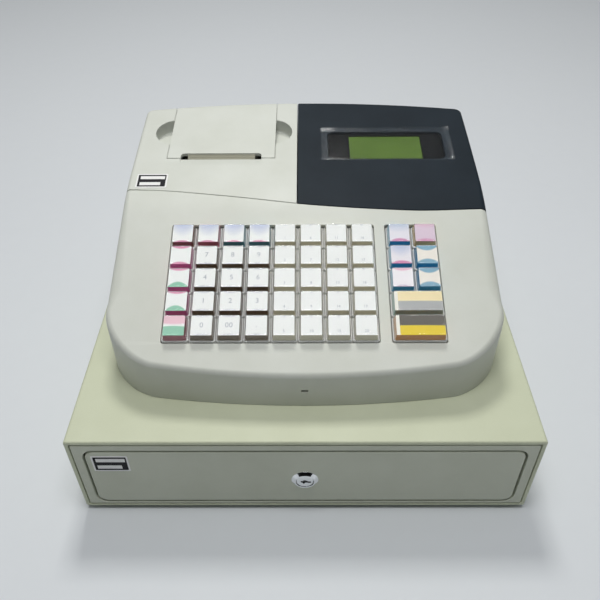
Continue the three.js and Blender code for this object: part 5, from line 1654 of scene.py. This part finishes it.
def boardHeader():
    # a row of square pins along the board's front edge, in a black strip
    centre, half = centreAndHalf("main_board")
    side, pitch = header["side"] / 2, header["pitch"]
    reach = (header["pins"] - 1) * pitch / 2
    y, low = centre.y - half.y + header["inset"], centre.z - half.z + header["board"]
    pin = bevel(block("pin", -side, side, -side, side, 0, header["rise"]), header["edge"], 1)
    row = copiesInRow("pins", pin, header["pins"], (centre.x - reach, y, low), (pitch, 0, 0), finishes["brassPin"])
    place(row, "boardPins", finishes["brassPin"], "register", "lock_chrome")
    strip = block("strip", centre.x - reach - pitch / 2, centre.x + reach + pitch / 2, y - pitch / 2, y + pitch / 2,
                  low, low + header["strip"])
    place(smooth(bevel(strip, header["stripEdge"])), "boardStrip", finishes["chipBlack"], "register", "black_plastic")


boardHeader()

contact = {
    "count": 8, "pitch": 1.02, "width": 0.5, "reach": 6, "thick": 0.25, "edge": 0.08,
    "rise": 3.4, "inset": 2, "tilt": -14,
}


def socketContacts():
    # the cable socket's sprung contacts
    x = port["x"] + port["width"] / 4 - (contact["count"] - 1) / 2 * contact["pitch"]
    rear = bowed(port["x"] + port["width"] / 2, case["rear"]) - case["wall"] / 2
    z = housingTop + port["rise"] + port["height"] / 2 + contact["rise"]
    half = contact["width"] / 2
    wire = bevel(block("wire", -half, half, -contact["reach"], 0, 0, contact["thick"]), contact["edge"], 1)
    row = copiesInRow("contacts", wire, contact["count"], (x, rear - contact["inset"], z), (contact["pitch"], 0, 0),
                      finishes["brassPin"], turn=(math.radians(contact["tilt"]), 0, 0))
    place(row, "socketContacts", finishes["brassPin"], "register", "lock_chrome")


socketContacts()
print("stage: inner parts")


# Blank label plates, on the rear cover and on the drawer's panel

label = {
    "thick": 0.25, "edge": 0.08, "corner": 0.8, "border": 1.3, "sunk": 0.02, "fieldCorner": 0.4, "field": 0.04,
    "barStart": 2.4, "barHeight": 0.22, "barCorner": 0.3, "bar": 0.06, "barEnds": (0.86, 0.74),
}
coverLabel = {"x": -123.6, "y": 193.7, "across": 12.6, "up": 8.3}
frontLabel = {"x": -137, "z": 58.8, "across": 13, "up": 8.8}


def blankLabel(name, body, across, up, matrix):
    # a plate with a printed field and two plain bars on it
    rise, border = label["thick"], label["border"]

    def stick(piece, suffix, finishName, slot):
        piece.data.transform(matrix)
        place(smooth(piece), name + suffix, finishes[finishName], body, slot)
    plate = prism("label", roundRect(-across, across, -up, up, label["corner"], 4), "z", label["sunk"], rise)
    stick(bevel(plate, label["edge"]), "", "labelWhite", "roll_paper")
    field = roundRect(border - across, across - border, border - up, up - border, label["fieldCorner"], 3)
    field = prism("field", field, "z", rise - label["sunk"], rise + label["field"])
    stick(field, "Field", "labelDark", "black_plastic")
    height = 2 * up * label["barHeight"]
    bars = []
    for v, share in zip((height, -height), label["barEnds"]):
        plan = roundRect(label["barStart"] * border - across, lerp(-across, across, share) + border,
                         v - height / 2, v + height / 2, label["barCorner"], 3)
        bars.append(prism("bar", plan, "z", rise, rise + label["bar"]))
    stick(join(*bars), "Bars", "labelWhite", "roll_paper")


slope = (topHeight(coverLabel["y"] + 1) - topHeight(coverLabel["y"] - 1)) / 2
blankLabel("coverLabel", "register", coverLabel["across"], coverLabel["up"],
           Matrix.Translation((coverLabel["x"], coverLabel["y"], topHeight(coverLabel["y"])))
           @ Matrix.Rotation(math.atan(slope), 4, "X"))
blankLabel("frontLabel", "drawer", frontLabel["across"], frontLabel["up"],
           Matrix.Translation((frontLabel["x"], 0, frontLabel["z"])) @ ontoFront)


# Floor, light and camera

studio = {
    "floor": srgb(222, 226, 230), "floorTint": srgb(219, 223, 227), "floorRoughness": 0.7,
    "backdrop": srgb(236, 240, 244), "seen": 0.9, "strength": 0.33, "mirrored": 0.45,
    "floorHalf": 6, "fadeStart": 1.25, "fadeEnd": 2,
    "horizon": 0.22, "front": 0.42, "behind": 1.25,  # shares of the light from low, from in front and from behind
    "frontMirror": (-0.68, -0.45, 0.06),  # what faces the front mirrors a dark room
    "level": (0.1, 0.2),  # how high a sight through clear plastic still ends on the plain backdrop
}
lamps = {
    "mainLamp": {"place": (-0.1, 0.8, 1.75), "size": (0.4, 0.4), "power": 13.4, "colour": (1, 0.99, 0.95)},
    "softBox": {"place": (0, -0.32, 1.56), "size": (0.9, 0.46), "power": 10.3, "colour": (1, 1, 1)},
}
lampTarget = (0, 0, 0.1)
camera = {"x": -0.4, "y": -449.7, "z": 457.5, "pitch": 41.45, "yaw": 0.45, "roll": 0.44, "lens": 40.22}


def makeFloor():
    # a pale floor that runs out into the backdrop, as a paper sweep does
    half = studio["floorHalf"]
    floor = newObject("floor", [(-half, -half, 0), (half, -half, 0), (half, half, 0), (-half, half, 0)],
                      [(0, 1, 2, 3)], bpy.context.scene.collection)
    paint = grained("floorPaint", studio["floor"], studio["floorTint"], studio["floorRoughness"],
                    grain=60, mottle=1.5, bump=0.02, edgeShadeAmount=0)
    tree = paint.node_tree
    output = next(node for node in tree.nodes if node.type == "OUTPUT_MATERIAL")
    shader = next(node for node in tree.nodes if node.type == "BSDF_PRINCIPLED")
    reach = tree.nodes.new("ShaderNodeVectorMath")
    reach.operation = "LENGTH"
    tree.links.new(tree.nodes.new("ShaderNodeTexCoord").outputs["Object"], reach.inputs[0])
    far = ranged(tree, reach.outputs["Value"], studio["fadeStart"], studio["fadeEnd"], kind="SMOOTHSTEP")
    path = tree.nodes.new("ShaderNodeLightPath").outputs
    seen = path["Is Camera Ray"]
    for ray in ("Is Glossy Ray", "Is Transmission Ray"):
        seen = calc(tree, "MAXIMUM", seen, path[ray])
    glow = feed(tree, tree.nodes.new("ShaderNodeEmission"), Color=studio["backdrop"], Strength=studio["seen"])
    mix = tree.nodes.new("ShaderNodeMixShader")
    for socket, value in zip(mix.inputs, (calc(tree, "MULTIPLY", seen, far), shader.outputs[0], glow.outputs[0])):
        tree.links.new(value, socket)
    tree.links.new(mix.outputs[0], output.inputs["Surface"])
    floor.data.materials.append(paint)


def areaLight(name, lamp):
    data = bpy.data.lights.new(name, "AREA")
    data.shape = "RECTANGLE"
    data.size, data.size_y = lamp["size"]
    data.energy = lamp["power"]
    data.color = lamp["colour"]
    obj = bpy.data.objects.new(name, data)
    bpy.context.scene.collection.objects.link(obj)
    obj.location = lamp["place"]
    obj.rotation_mode = "QUATERNION"
    obj.rotation_quaternion = (Vector(lampTarget) - Vector(lamp["place"])).to_track_quat("-Z", "Y")


def makeWorld():
    # an even studio, darker near the floor and in front, behind a plain pale backdrop
    world = bpy.data.worlds.new("studio")
    bpy.context.scene.world = world
    world.use_nodes = True
    tree = world.node_tree
    tree.nodes.clear()
    output = tree.nodes.new("ShaderNodeOutputWorld")
    background = tree.nodes.new("ShaderNodeBackground")
    way = feed(tree, tree.nodes.new("ShaderNodeSeparateXYZ"),
               Vector=tree.nodes.new("ShaderNodeTexCoord").outputs["Generated"]).outputs
    path = tree.nodes.new("ShaderNodeLightPath").outputs
    slope = calc(tree, "MULTIPLY", ranged(tree, way["Z"], 0, 1, studio["horizon"], 1),
                 ranged(tree, way["Y"], -1, 1, studio["front"], studio["behind"]))
    lit = ranged(tree, slope, 0, 1, 0, studio["strength"])
    low, high, dark = studio["frontMirror"]
    glossy = calc(tree, "MULTIPLY", ranged(tree, slope, 0, 1, 0, studio["mirrored"]),
                  ranged(tree, way["Y"], low, high, dark, 1))
    level = ranged(tree, way["Z"], *studio["level"], 1, 0)
    through = calc(tree, "MULTIPLY", path["Is Transmission Ray"], level)
    strength = mixed(tree, "FLOAT", path["Is Glossy Ray"], lit, glossy)
    strength = mixed(tree, "FLOAT", calc(tree, "MAXIMUM", path["Is Camera Ray"], through), strength, studio["seen"])
    feed(tree, background, Color=studio["backdrop"], Strength=strength)
    tree.links.new(background.outputs[0], output.inputs["Surface"])


def makeCamera():
    data = bpy.data.cameras.new("camera")
    data.lens = camera["lens"]
    data.sensor_width = 36
    data.clip_start, data.clip_end = 0.01, 50
    obj = bpy.data.objects.new("camera", data)
    bpy.context.scene.collection.objects.link(obj)
    turn = (
        Matrix.Rotation(math.radians(camera["yaw"]), 4, "Z")
        @ Matrix.Rotation(math.radians(90 - camera["pitch"]), 4, "X")
        @ Matrix.Rotation(math.radians(-camera["roll"]), 4, "Z")
    )
    obj.matrix_world = Matrix.Translation(Vector((camera["x"], camera["y"], camera["z"])) * mm) @ turn
    bpy.context.scene.camera = obj


makeFloor()
for name, lamp in lamps.items():
    areaLight(name, lamp)
makeWorld()
makeCamera()
bpy.context.scene.view_settings.view_transform = "Standard"

for obj in list(workshop.objects):
    bpy.data.objects.remove(obj)
bpy.data.collections.remove(workshop)

print("stage: done")
